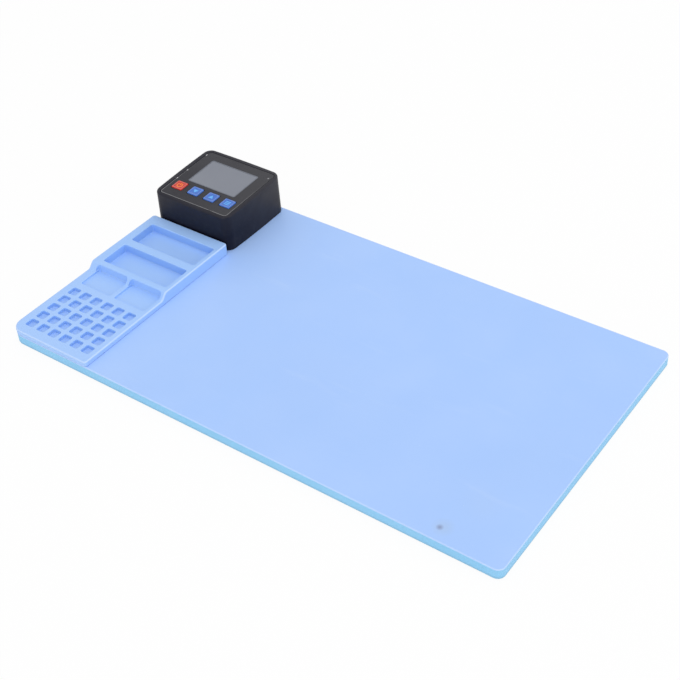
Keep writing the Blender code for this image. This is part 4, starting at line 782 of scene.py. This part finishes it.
def panel_openings():
    """Cutters of the display's and keys' openings through film and roof, in the panel's place."""
    windows = [("display", "display_lens", half_size("display_lens", DISPLAY_DEPTH), CLEAR)]
    windows += [(name, node, key_half(node), KEY_CLEARANCE) for name, node, _, _ in KEYS]
    made = []
    for name, node, (half_x, half_y), room in windows:
        corners = about(on_panel(node), (half_x + room, half_y + room), -0.004, 0.002)
        made.append(block(name + "_opening", *corners, OPENING_CORNER, 8, panel_place()))
    return made


def inlet_place():
    """The matrix from the inlet's frame, whose Z runs from its outer face into the box, to the world."""
    _, high, middle = span("ac_inlet")
    return Matrix.Translation((middle.x, high.y, middle.z)) @ Matrix.Rotation(math.pi / 2, 4, "X")


# Operators, one for each piece or group of pieces


class BuildMat(bpy.types.Operator):
    """Build the mat: cyan body with the heater's pocket, and the pale working surface over it"""

    bl_idname = "heating_pad.mat"
    bl_label = "Mat"

    def execute(self, context):
        settings = context.scene.heating_pad
        sizes, tone = settings.mat, tuple(settings.colours.mat_top)
        # Painted shade along the foot of the mat's cyan edge: darkest below 0.5 mm, gone by 2.6 mm
        deep = ((0.0005, 0.0026), (0.235, 0.49, 0.69))
        cyan = silicone("mat_edge_silicone", tuple(settings.colours.mat_edge), painted_shade_low=deep).material
        top = mat_top_finish(tone)
        base_low, base_high, _ = span("base_sheet")
        sheet_low, sheet_high, _ = span("top_sheet")
        heater_low, heater_high, _ = span("heat_spreader")
        body = slab("mat_body", base_low, (base_high.x, base_high.y, sheet_low.z - SEAM), sizes.corner_radius,
                    bottom_round=sizes.edge_round, front_left=sizes.tray_corner)
        floor, above, overlap = base_high.z + SEAM, 0.01, 0.002
        window = block("heater_window", (heater_low.x - CLEAR, heater_low.y - CLEAR, floor),
                       (heater_high.x + CLEAR, heater_high.y + CLEAR, above))
        half = sizes.channel_width / 2
        left, right = SLOT_X - sizes.slot_length / 2 - CLEAR, heater_low.x + overlap
        channel = block("lead_channel", (left, CHANNEL_Y - half, floor),
                        (right, CHANNEL_Y + half, above + 0.001))
        combine(body, [window, channel])
        finish_piece(body, PAD, cyan, replaces=("base_sheet", "edge_frame"), slot="cyan_silicone")

        sheet = slab("mat_surface", sheet_low, sheet_high, sizes.corner_radius, top_round=sizes.edge_round,
                     front_left=sizes.tray_corner)
        slot_half = (sizes.slot_length / 2, sizes.slot_width / 2)
        ends = about((SLOT_X, CHANNEL_Y), slot_half, 0.004, above + overlap)
        slot = block("lead_slot", *ends, corner=0.002, steps=8)
        combine(sheet, [slot])
        # Painted highlight: the sheet's rounded upper edge gets a paler, glossier copy of the top's silicone
        rim = silicone("mat_rim_silicone", lighter(tone, 0.14), specular=0.5).material
        finish_piece(sheet, PAD, top, rim, cyan, replaces=("top_sheet",), slot="periwinkle_silicone")
        colour_faces(sheet, self.part_of_sheet)
        return {"FINISHED"}

    @staticmethod
    def part_of_sheet(normal, centre):
        """0 for the upper surface, 1 for its rounded edge, which has a painted highlight, 2 for the cyan side
        and underside.
        """
        return 0 if normal.z > 0.96 else 1 if normal.z > 0.1 else 2


class BuildTray(bpy.types.Operator):
    """Build the parts tray with its two levels, four bins and grid of cells, and the bond line under it in
    painted shade
    """

    bl_idname = "heating_pad.tray"
    bl_label = "Parts tray"

    def execute(self, context):
        settings = context.scene.heating_pad
        sizes, tone, front_corner = settings.tray, tuple(settings.colours.tray), settings.mat.tray_corner
        low, high, _ = span("parts_tray")
        step_end = high.y - sizes.back_rim - 2 * sizes.long_bin - sizes.long_rib
        step_start = step_end - sizes.high_rib - sizes.step_before_wall
        tray = self.body(sizes, low, high, front_corner, step_start)
        combine(tray, self.bins(sizes, low, high) + [self.cells(sizes, low)])
        finish = silicone("tray_silicone", tone)
        # Painted light: the tray is paler near its low front end, fading out between 52 and 82 mm from it
        front_end = ((low.x + high.x) / 2, low.y, low.z + sizes.low_height)
        reach, front_painted_light = (0.052, 0.082), (0.378, 0.578, 0.96)
        finish.tint(finish.distance_from(front_end), reach, (1.0, 0.0), front_painted_light)
        # Painted highlight: the outer rim's rounding gets a paler, glossier copy of the tray's silicone
        rim = silicone("tray_rim_silicone", lighter(tone, 0.20), specular=0.5).material
        # Painted shade: the steep walls of bins and cells get a darker copy of the tray's silicone
        inner = silicone("tray_wall_silicone", (tone[0] * 0.87, tone[1] * 0.93, tone[2] * 0.98)).material
        # Fainter painted highlight: the rounded lips of bins and cells get a slightly paler copy
        lip_highlight = silicone("tray_lip_silicone", lighter(tone, 0.06), specular=0.4).material
        finish_piece(tray, PAD, finish.material, rim, inner, lip_highlight, replaces=("parts_tray",),
                     slot="periwinkle_silicone", angle=38.0)

        outer_rim, rim_level = 0.003, low.z + 0.0029

        def part_of_tray(normal, centre):
            """0 for flats and outer sides, 1 for the outer rim's painted highlight, 2 for walls of bins and
            cells in painted shade, 3 for lips with a fainter painted highlight.
            """
            if abs(normal.x) < 0.05 and step_start - 0.001 < centre.y < step_end:
                return 0
            from_side = min(centre.x - low.x, high.x - centre.x, centre.y - low.y, high.y - centre.y)
            rounded = 0.2 < normal.z < 0.975 and centre.z > rim_level
            if from_side <= outer_rim:
                return 1 if rounded else 0
            if abs(normal.z) <= 0.72:
                return 2
            return 3 if rounded else 0

        colour_faces(tray, part_of_tray)

        top, inset = span("top_sheet")[1].z, 0.0006
        bond = slab("tray_bond", (low.x + inset, low.y + inset, top + SEAM),
                    (high.x - inset, high.y - inset, low.z - SEAM), 2 * sizes.edge_round - inset,
                    corner_steps=12, front_left=front_corner - inset)
        # Painted shade: the bond line in the crease under the tray's rounded foot is a darker copy of its
        # silicone
        bond_shade = silicone("bond_silicone", darker(tone, 0.12), specular=0.5)
        finish_piece(bond, PAD, bond_shade.material, slot="periwinkle_silicone")
        return {"FINISHED"}

    @staticmethod
    def body(sizes, low, high, front_corner, step_start):
        """The tray's side profile drawn across the strip, with rounded uprights and rim."""
        rise = high.z - low.z - sizes.low_height
        side = [(low.y, low.z), (low.y, low.z + sizes.low_height)]
        steps = 24
        for step in range(steps + 1):
            share = step / steps
            level = sizes.low_height + share * share * (3 - 2 * share) * rise
            side.append((step_start + share * sizes.step_run, low.z + level))
        side += [(high.y, high.z), (high.y, low.z)]
        shape = bmesh.new()
        face = shape.faces.new([shape.verts.new((low.x, y, z)) for y, z in side])
        grown = bmesh.ops.extrude_face_region(shape, geom=[face])
        moved = [item for item in grown["geom"] if isinstance(item, bmesh.types.BMVert)]
        bmesh.ops.translate(shape, vec=(high.x - low.x, 0.0, 0.0), verts=moved)
        bmesh.ops.recalc_face_normals(shape, faces=shape.faces)

        def bevel(chosen, radius, segments):
            edges = [edge for edge in shape.edges if chosen(edge)]
            bmesh.ops.bevel(shape, geom=edges, offset=radius, offset_type="OFFSET", segments=segments,
                            profile=0.5, affect="EDGES", clamp_overlap=True)

        def upright_at(*corners):
            return lambda edge: any(
                all(math.dist(vert.co[:2], corner) < TINY for vert in edge.verts) for corner in corners
            )

        def between_side_and_top(edge):
            lean, level = sorted(face.normal.z for face in edge.link_faces)
            return abs(lean) < 0.2 and level > 0.4

        bevel(upright_at((low.x, low.y)), front_corner, 16)
        bevel(upright_at((high.x, low.y), (high.x, high.y), (low.x, high.y)), 2 * sizes.edge_round, 6)
        bevel(between_side_and_top, sizes.edge_round, 5)
        return new_piece("tray_body", mesh_of("tray_body", shape))

    @staticmethod
    def bins(sizes, low, high):
        """Cutters of the bins: the square ones' far walls don't flare, because the tray rises there."""
        left, right = low.x + sizes.left_rim, high.x - sizes.right_rim
        floor, far = low.z + sizes.floor_height, high.y - sizes.back_rim
        made = []

        def cut(name, start, width, length, rim, **others):
            made.append(well(name, (start, far - length), (start + width, far), sizes.bin_corner, floor, rim,
                             sizes.rim_round, sizes.bin_corner / 2, **others))

        for name in ("long_bin_back", "long_bin_front"):
            cut(name, left, right - left, sizes.long_bin, high.z)
            far -= sizes.long_bin + sizes.long_rib
        far += sizes.long_rib - sizes.high_rib
        width = (right - left - sizes.divider) / 2
        for name, start in (("square_bin_left", left), ("square_bin_right", left + width + sizes.divider)):
            cut(name, start, width, sizes.square_bin, low.z + sizes.low_height, over=0.007, back=0.0)
        return made

    @staticmethod
    def cells(sizes, low):
        rim, half = low.z + sizes.low_height, sizes.cell / 2
        cell = well("cell", (-half, -half), (half, half), sizes.cell_corner, rim - sizes.cell_depth, rim,
                    sizes.rim_round, sizes.cell_corner / 2, steps=3)
        across = (sizes.columns - 1) * sizes.column_pitch
        along = (sizes.rows - 1) * sizes.row_pitch
        middle_x = low.x + sizes.cell_left + half + across / 2
        middle_y = low.y + sizes.cell_front + half + along / 2
        values = {
            "Solid": cell, "Columns": sizes.columns, "Rows": sizes.rows, "Span Across": across,
            "Span Along": along, "Material": None,
        }
        grid = grow("cells", grid_tree(), values, Matrix.Translation((middle_x, middle_y, 0.0)))
        bpy.data.objects.remove(cell, do_unlink=True)
        return grid


class BuildHousing(bpy.types.Operator):
    """Build the control box's shell and the gasket that it stands on"""

    bl_idname = "heating_pad.housing"
    bl_label = "Box"

    def execute(self, context):
        settings = context.scene.heating_pad
        sizes, tone, wall = settings.box, tuple(settings.colours.housing), settings.box.wall
        low, high, _ = span("housing_shell")
        centre = ((low.x + high.x) / 2, (low.y + high.y) / 2)
        size = (high.x - low.x, high.y - low.y)
        shell = self.loft("housing", centre, size, 0.0, low.z, 0.0, sizes.top_round, sizes)
        cavity = self.loft("cavity", centre, size, wall, low.z - 0.002, sizes.roof, sizes.top_round / 2,
                           sizes)
        combine(shell, [cavity])
        inlet_low, inlet_high, _ = span("ac_inlet")
        pad_low = (inlet_low.x - wall, inlet_high.y - INLET_FLANGE - CLEAR - wall, low.z + CLEAR)
        pad_high = (inlet_high.x + wall, high.y - sizes.draft - wall / 3, inlet_high.z + wall)
        place = panel_place()
        posts = self.rods("post", "housing_screw", radius=0.0032, low=low.z + 0.0023, into_roof=0.0013)
        posts += self.rods("boss", "board_screw", radius=0.0024, low=-0.0061, high=-0.0013, place=place)
        combine(shell, [block("inlet_pad", pad_low, pad_high)] + posts, "UNION")

        half_x, half_y = half_size("panel_overlay", FILM_THICKNESS)
        recess = well("film_recess", (-half_x - CLEAR, -half_y - CLEAR), (half_x + CLEAR, half_y + CLEAR),
                      sizes.film_corner, floor=-0.001, rim=0.0, flare=0.0003, over=0.002, place=place)
        holes = self.rods("post_hole", "housing_screw", radius=0.0015, low=0.009, high=0.0254)
        holes += self.rods("boss_hole", "board_screw", radius=0.0012, low=-0.008, high=-0.0029, place=place)
        combine(shell, [recess] + panel_openings() + holes)
        combine(shell, self.inlet_openings(inlet_low, inlet_high, wall))
        # Painted light on the box: paler towards the top, and a painted reflection near its back right top
        # corner
        plastic = moulded_plastic(
            "box_plastic", tone, 0.46, 0.22,
            painted_sheen_top=((low.z + 0.012, high.z + 0.004), lighter(tone, 0.016)),
            painted_reflection=((high.x, high.y, high.z), 0.055, lighter(tone, 0.030)),
        )
        finish_piece(shell, PAD, plastic, replaces=("housing_shell",), slot="black_plastic", angle=30.0)

        rings = []
        foot, head = span("top_sheet")[1].z + SEAM, low.z - SEAM
        outer, inner = 0.0004, wall - 0.0004
        for inset, level in ((outer, foot), (outer, head), (inner, head), (inner, foot)):
            plan = bowed_plan(size, sizes.corner_radius, inset, sizes.crown)
            rings.append([(centre[0] + x, centre[1] + y, level) for x, y in plan])
        gasket = stacked("box_gasket", rings, hollow=True)
        foam = moulded_plastic("gasket_foam", (0.010, 0.011, 0.015), 0.8, 0.1)
        finish_piece(gasket, PAD, foam, slot="black_plastic")
        return {"FINISHED"}

    @staticmethod
    def loft(name, centre, size, wall, foot, drop, top_round, sizes):
        """A drafted solid a wall inside the box's plan, from foot up to a sloping top drop below the roof."""
        size = (size[0] - 2 * wall, size[1] - 2 * wall)
        rings = []
        for inward, downward in [(None, None)] + quarter_steps(top_round, 7):
            inset = 0.0 if inward is None else sizes.draft + inward
            ring = []
            for x, y in bowed_plan(size, sizes.corner_radius - wall, inset, sizes.crown):
                level = foot if inward is None else roof_level(centre[1] + y, drop + downward)
                ring.append((centre[0] + x, centre[1] + y, level))
            rings.append(ring)
        return stacked(name, rings)

    @staticmethod
    def rods(name, screws, radius, low, high=None, into_roof=0.0, place=None):
        """Rods at four screws, up to high or into the roof, in the world or in the panel's place."""
        made = []
        for index in range(1, 5):
            node = f"{screws}_{index}"
            at = on_panel(node) if place else span(node)[2]
            top = roof_level(at.y, into_roof) if high is None else high
            made.append(turned(f"{name}_{index}", at, radius, low, top, place))
        return made

    @staticmethod
    def inlet_openings(low, high, wall):
        """Cutters of the flange's recess and of the body's opening in the back wall."""
        turn, depth = inlet_place(), INLET_FLANGE + CLEAR
        flange = ((high.x - low.x) / 2 + CLEAR, (high.z - low.z) / 2 + CLEAR)
        body = (INLET_BODY[0] + CLEAR, INLET_BODY[1] + CLEAR)
        return [
            block("flange_recess", *about(ORIGIN, flange, -0.003, depth), corner=0.0006, place=turn),
            block("inlet_opening", *about(ORIGIN, body, 0.001, depth + wall + 0.002), corner=0.0004, steps=3,
                  place=turn),
        ]


class BuildPanel(bpy.types.Operator):
    """Build the panel film, the display pane and the fine lines round them, the film's border being a painted
    highlight
    """

    bl_idname = "heating_pad.panel"
    bl_label = "Panel and display"

    def execute(self, context):
        settings = context.scene.heating_pad
        sizes, film_tone, grey = settings.box, tuple(settings.colours.film), tuple(settings.colours.display)
        place = panel_place()
        half_x, half_y = half_size("panel_overlay", FILM_THICKNESS)
        film = slab("panel_film", *about(ORIGIN, (half_x, half_y), FILM_TOP - sizes.film_thickness, FILM_TOP),
                    sizes.film_corner, top_round=0.00015, steps=4, corner_steps=14, place=place)
        combine(film, panel_openings())
        front = place @ Vector((-half_x, -half_y, FILM_TOP))
        # Where the film's painted glint sits
        glint_spot = place @ Vector((half_x - 0.0022, half_y - 0.0058, FILM_TOP))
        coat = coated_film("panel_coating", film_tone, front, glint_spot)
        finish_piece(film, PAD, coat, replaces=("panel_overlay",), slot="panel_film")

        middle, lens = on_panel("display_lens"), half_size("display_lens", DISPLAY_DEPTH)
        pane = slab("display_window", *about(middle, lens, FILM_TOP - DISPLAY_DEPTH, FILM_TOP), corner=0.0006,
                    top_round=0.0002, steps=4, corner_steps=6, place=place)
        finish_piece(pane, PAD, display_finish(grey), replaces=("display_lens",), slot="display_pane")

        tree, line_level = line_tree(), FILM_TOP + LINE_HEIGHT / 2
        # The film's border is a painted highlight of the film's edge: it fades towards the back, breaks in
        # places and has three painted glints on its left side
        before = place @ Vector((0.0, -half_y - 0.2, FILM_TOP))
        glints = [place @ Vector((0.0005 - half_x, y, FILM_TOP)) for y in (-0.0092, 0.0023, 0.0242)]
        ink = highlight_line("border_ink", (0.19, 0.19, 0.205), film_tone, (before, (0.202, 0.245)), glints)
        inset = 0.0005
        framing_line("film_border", tree, (half_x, half_y), margin=-inset, corner=sizes.film_corner - inset,
                     width=0.0005, ink=ink, place=place @ Matrix.Translation((0.0, 0.0, line_level)))
        edge = moulded_plastic("display_edge", darker(grey, 0.18), 0.4, 0.4, grain=3000.0)
        framing_line("display_outline", tree, lens, margin=0.00035, corner=OPENING_CORNER, width=0.0008,
                     ink=edge, place=place @ Matrix.Translation((middle.x, middle.y, line_level)))
        return {"FINISHED"}


class BuildKeys(bpy.types.Operator):
    """Build the four key caps with the marks on them, each on its own push joint"""

    bl_idname = "heating_pad.keys"
    bl_label = "Keys"

    def execute(self, context):
        settings = context.scene.heating_pad
        red, blue = tuple(settings.colours.red_key), tuple(settings.colours.blue_key)
        # Each key's third finish is the painted highlight of its raised edge
        finishes = {
            "red_key": (
                key_finish("red_key_plastic", red, lighter(red, 0.025)),
                moulded_plastic("orange_mark", (0.95, 0.26, 0.05), 0.4),
                highlight_line("red_key_rim", (0.72, 0.20, 0.17), (0.60, 0.10, 0.09)),
            ),
            "blue_key": (
                key_finish("blue_key_plastic", blue, lighter(blue, 0.07)),
                moulded_plastic("pale_mark", (0.14, 0.44, 0.90), 0.4),
                highlight_line("blue_key_rim", (0.20, 0.30, 0.66), (0.11, 0.20, 0.52)),
            ),
        }
        marks = {
            "power": power_outlines(), "down": arrow_outlines(-1), "up": arrow_outlines(1),
            "mode": bar_outlines(),
        }
        tree = line_tree()
        for name, node, body, slot in KEYS:
            plastic, ink, rim = finishes[slot]
            middle, half = on_panel(node), key_half(node)
            place = panel_place() @ Matrix.Translation((middle.x, middle.y, 0.0))
            cap = key_cap(name + "_cap", settings.box, half, place)
            finish_piece(cap, body, plastic, replaces=(node,), slot=slot)
            mark = flat_mark(name + "_mark", marks[name], KEY_TOP - KEY_DISH, place)
            finish_piece(mark, body, ink, slot=slot, angle=20.0)
            # Painted highlight: a paler line just inside each key's edge
            above = place @ Matrix.Translation((0.0, 0.0, KEY_TOP + LINE_HEIGHT / 4))
            framing_line(name + "_rim", tree, half, margin=-0.0008, corner=0.0007, width=0.0004, ink=rim,
                         place=above, body=body, slot=slot)
        return {"FINISHED"}


def key_cap(name, sizes, half, place):
    """A cap with its retaining flange, a soft upper edge and a shallow dish."""
    foot = KEY_TOP - KEY_DEPTH
    flange_top = foot + 0.001
    levels = [(foot, KEY_FLANGE), (flange_top, KEY_FLANGE), (flange_top, 0.0)]
    levels += [(KEY_TOP - down, -inward) for inward, down in quarter_steps(sizes.key_round, 5)]
    before_dish, dish_run = 0.0007, 0.0006
    for share in (0.0, 0.25, 0.5, 0.75, 1.0):
        fall = KEY_DISH * share * share * (3 - 2 * share)
        levels.append((KEY_TOP - fall, -sizes.key_round - before_dish - dish_run * share))
    low, high = about(ORIGIN, half, foot, KEY_TOP)
    return soft_solid(name, low, high, sizes.key_corner, levels, 8, least=0.0003, place=place)


def flat_mark(name, outlines, low, place, thick=0.00005):
    """Thin raised marks from outlines in the key's own plane."""
    shape = bmesh.new()
    for outline in outlines:
        add_skin(shape, upright(outline, low, low + thick))
    bmesh.ops.transform(shape, matrix=place, verts=shape.verts)
    bmesh.ops.recalc_face_normals(shape, faces=shape.faces)
    return new_piece(name, mesh_of(name, shape))


def power_outlines():
    """The common on and off symbol: an open ring and a bar."""
    opening, steps, middle = math.radians(32), 30, -0.0001
    angles = [math.pi / 2 + opening + step / steps * (2 * math.pi - 2 * opening) for step in range(steps + 1)]
    ring = []
    for radius, way in ((0.0024, 1), (0.0017, -1)):
        ring += [(radius * math.cos(angle), radius * math.sin(angle) + middle) for angle in angles[::way]]
    half, foot, head = 0.00036, 0.0002, 0.0025
    return [ring, [(-half, foot), (half, foot), (half, head), (-half, head)]]


def arrow_outlines(way):
    """A solid triangle that points towards the display, way being 1, or away from it, way being -1."""
    half, foot, tip = 0.0021, -0.0014, 0.0019
    return [[(-half, foot * way), (half, foot * way), (0.0, tip * way)][::way]]


def bar_outlines():
    """Three short bars, the common mark of a list of settings."""
    half, thick = 0.0022, 0.0004
    rows = (0.0015, 0.0, -0.0015)
    return [[(-half, y - thick), (half, y - thick), (half, y + thick), (-half, y + thick)] for y in rows]


class BuildInlet(bpy.types.Operator):
    """Build the mains inlet's body with its flange and socket"""

    bl_idname = "heating_pad.inlet"
    bl_label = "Mains inlet"

    def execute(self, context):
        low, high, middle = span("ac_inlet")
        turn, deep = inlet_place(), high.y - low.y
        half = ((high.x - low.x) / 2, (high.z - low.z) / 2)
        flange = slab("inlet_body", *about(ORIGIN, half, 0.0, INLET_FLANGE), corner=0.0022,
                      bottom_round=0.0004, steps=4, corner_steps=8, place=turn)
        body = block("inlet_shell", *about(ORIGIN, INLET_BODY, 0.0008, deep), corner=0.0008, place=turn)
        combine(flange, [body], "UNION")
        cutters, slot_half = [self.socket(context.scene.heating_pad.box, turn)], (0.0013, 0.0023)
        for pin in ("live", "neutral", "earth"):
            at = span(f"inlet_pin_{pin}")[2]
            corners = about((at.x - middle.x, at.z - middle.z), slot_half, deep - 0.003, deep + 0.002)
            cutters.append(block(f"slot_{pin}", *corners, place=turn))
        combine(flange, cutters)
        plastic = moulded_plastic("inlet_plastic", (0.010, 0.010, 0.012), 0.38, 0.4, grain=1200.0)
        finish_piece(flange, PAD, plastic, replaces=("ac_inlet",), slot="black_plastic")
        return {"FINISHED"}

    @staticmethod
    def socket(sizes, turn):
        """Cutter of the socket: a rectangle with two cut upper corners, and a soft mouth."""
        half_x, half_z, cut = sizes.socket_width / 2, sizes.socket_height / 2, 0.005
        outline = [(half_x, -half_z), (half_x, half_z - cut), (half_x - cut, half_z)]
        outline += [(-x, z) for x, z in outline[::-1]]
        levels = [(-0.002, 0.0005), (0.0, 0.0005), (0.0002, 0.0002), (0.0006, 0.0), (sizes.socket_depth, 0.0)]
        rings = []
        for level, grown in levels:
            ring = [(x + math.copysign(grown, x), z + math.copysign(grown, z), level) for x, z in outline]
            rings.append(ring)
        return stacked("socket", rings, turn)


class DressInside(bpy.types.Operator):
    """Give the solids that stay as they are their own finishes"""

    bl_idname = "heating_pad.inside"
    bl_label = "Parts inside"

    def execute(self, context):
        finishes = finishes_by_slot()
        for solid in frame["nodes"].values():
            for slot in solid.material_slots:
                name = slot.material.name.split(".")[0] if slot.material else ""
                if name in finishes:
                    slot.material = finishes[name]
        return {"FINISHED"}


class BuildStage(bpy.types.Operator):
    """Set the pale floor, the soft studio light and the camera"""

    bl_idname = "heating_pad.stage"
    bl_label = "Stage"

    def execute(self, context):
        scene = context.scene
        scene.view_settings.view_transform = "Standard"
        shape, reach, level = bmesh.new(), 6.0, -0.0002
        corners = ((-reach, -reach), (reach, -reach), (reach, reach), (-reach, reach))
        shape.faces.new([shape.verts.new((x, y, level)) for x, y in corners])
        floor = new_piece("floor", mesh_of("floor", shape))
        floor.data.materials.append(self.floor_finish())
        scene.world = self.studio()
        for name, place, aim, power in LAMPS:
            light = bpy.data.lights.new(name, "AREA")
            light.size = LAMP_SIZE
            light.energy = power
            lamp = new_piece(name, light)
            lamp.location = place
            lamp.rotation_euler = (Vector(place) - Vector(aim)).to_track_quat("Z", "Y").to_euler()
        lens = bpy.data.cameras.new("camera")
        lens.lens = CAMERA_LENS
        lens.sensor_width = 36.0
        scene.camera = new_piece("camera", lens)
        scene.camera.location = CAMERA_PLACE
        scene.camera.rotation_euler = CAMERA_TURN
        return {"FINISHED"}

    @staticmethod
    def seen_directly(tree):
        """1 where the camera sees a surface straight on, in a mirror or through glass."""
        path = tree.nodes.new("ShaderNodeLightPath")
        total = path.outputs["Is Camera Ray"]
        for ray in ("Is Glossy Ray", "Is Transmission Ray"):
            both = add_node(tree, "ShaderNodeMath", operation="MAXIMUM")
            tree.links.new(total, both.inputs[0])
            tree.links.new(path.outputs[ray], both.inputs[1])
            total = both.outputs[0]
        return total

    @staticmethod
    def mixed(tree, share, lighting, seen, end):
        """Ends a tree in a mix: one shader for the light that it gives, the other for how it is seen."""
        mix = tree.nodes.new("ShaderNodeMixShader")
        for index, output in enumerate((share, lighting.outputs[0], seen.outputs[0])):
            tree.links.new(output, mix.inputs[index])
        tree.links.new(mix.outputs[0], tree.nodes[end].inputs["Surface"])

    def floor_finish(self):
        """White paper: it keeps a faint shadow, and stays white where the camera sees it."""
        finish = Finish("floor_paper", (0.90, 0.90, 0.90), 0.9, specular=0.1)
        glow = add_node(finish.tree, "ShaderNodeEmission", Strength=1.0)
        share = add_node(finish.tree, "ShaderNodeMath", operation="MULTIPLY")
        finish.tree.links.new(self.seen_directly(finish.tree), share.inputs[0])
        share.inputs[1].default_value = 0.93
        self.mixed(finish.tree, share.outputs[0], finish.shader, glow, "Material Output")
        return finish.material

    def studio(self):
        """Soft white light from all round, behind which the camera sees plain white."""
        world = bpy.data.worlds.new("studio")
        world.use_nodes = True
        tree = world.node_tree
        white = (1.0, 1.0, 1.0, 1.0)
        soft = tree.nodes["Background"]
        soft.inputs["Color"].default_value = white
        soft.inputs["Strength"].default_value = 0.70
        bright = add_node(tree, "ShaderNodeBackground", Strength=1.0, Color=white)
        self.mixed(tree, self.seen_directly(tree), soft, bright, "World Output")
        return world


class PadPanel(bpy.types.Panel):
    """Lists the operators in the 3D view's sidebar"""

    bl_idname = "VIEW3D_PT_heating_pad"
    bl_label = "Heating pad"
    bl_space_type = "VIEW_3D"
    bl_region_type = "UI"
    bl_category = "Heating pad"

    def draw(self, context):
        for operator in OPERATORS:
            self.layout.operator(operator.bl_idname)
        settings = context.scene.heating_pad
        for group in (settings.mat, settings.tray, settings.box, settings.colours):
            column = self.layout.column(align=True)
            for name in group.__annotations__:
                column.prop(group, name)


OPERATORS = (BuildMat, BuildTray, BuildHousing, BuildPanel, BuildKeys, BuildInlet, DressInside, BuildStage)
CLASSES = (MatSizes, TraySizes, BoxSizes, PadColours, PadSettings, *OPERATORS, PadPanel)


def register():
    for item in CLASSES:
        bpy.utils.register_class(item)
    bpy.types.Scene.heating_pad = bpy.props.PointerProperty(type=PadSettings)


def unregister():
    del bpy.types.Scene.heating_pad
    for item in reversed(CLASSES):
        bpy.utils.unregister_class(item)


def main():
    register()
    for operator in OPERATORS:
        group, name = operator.bl_idname.split(".")
        getattr(getattr(bpy.ops, group), name)()


if __name__ == "__main__":
    main()
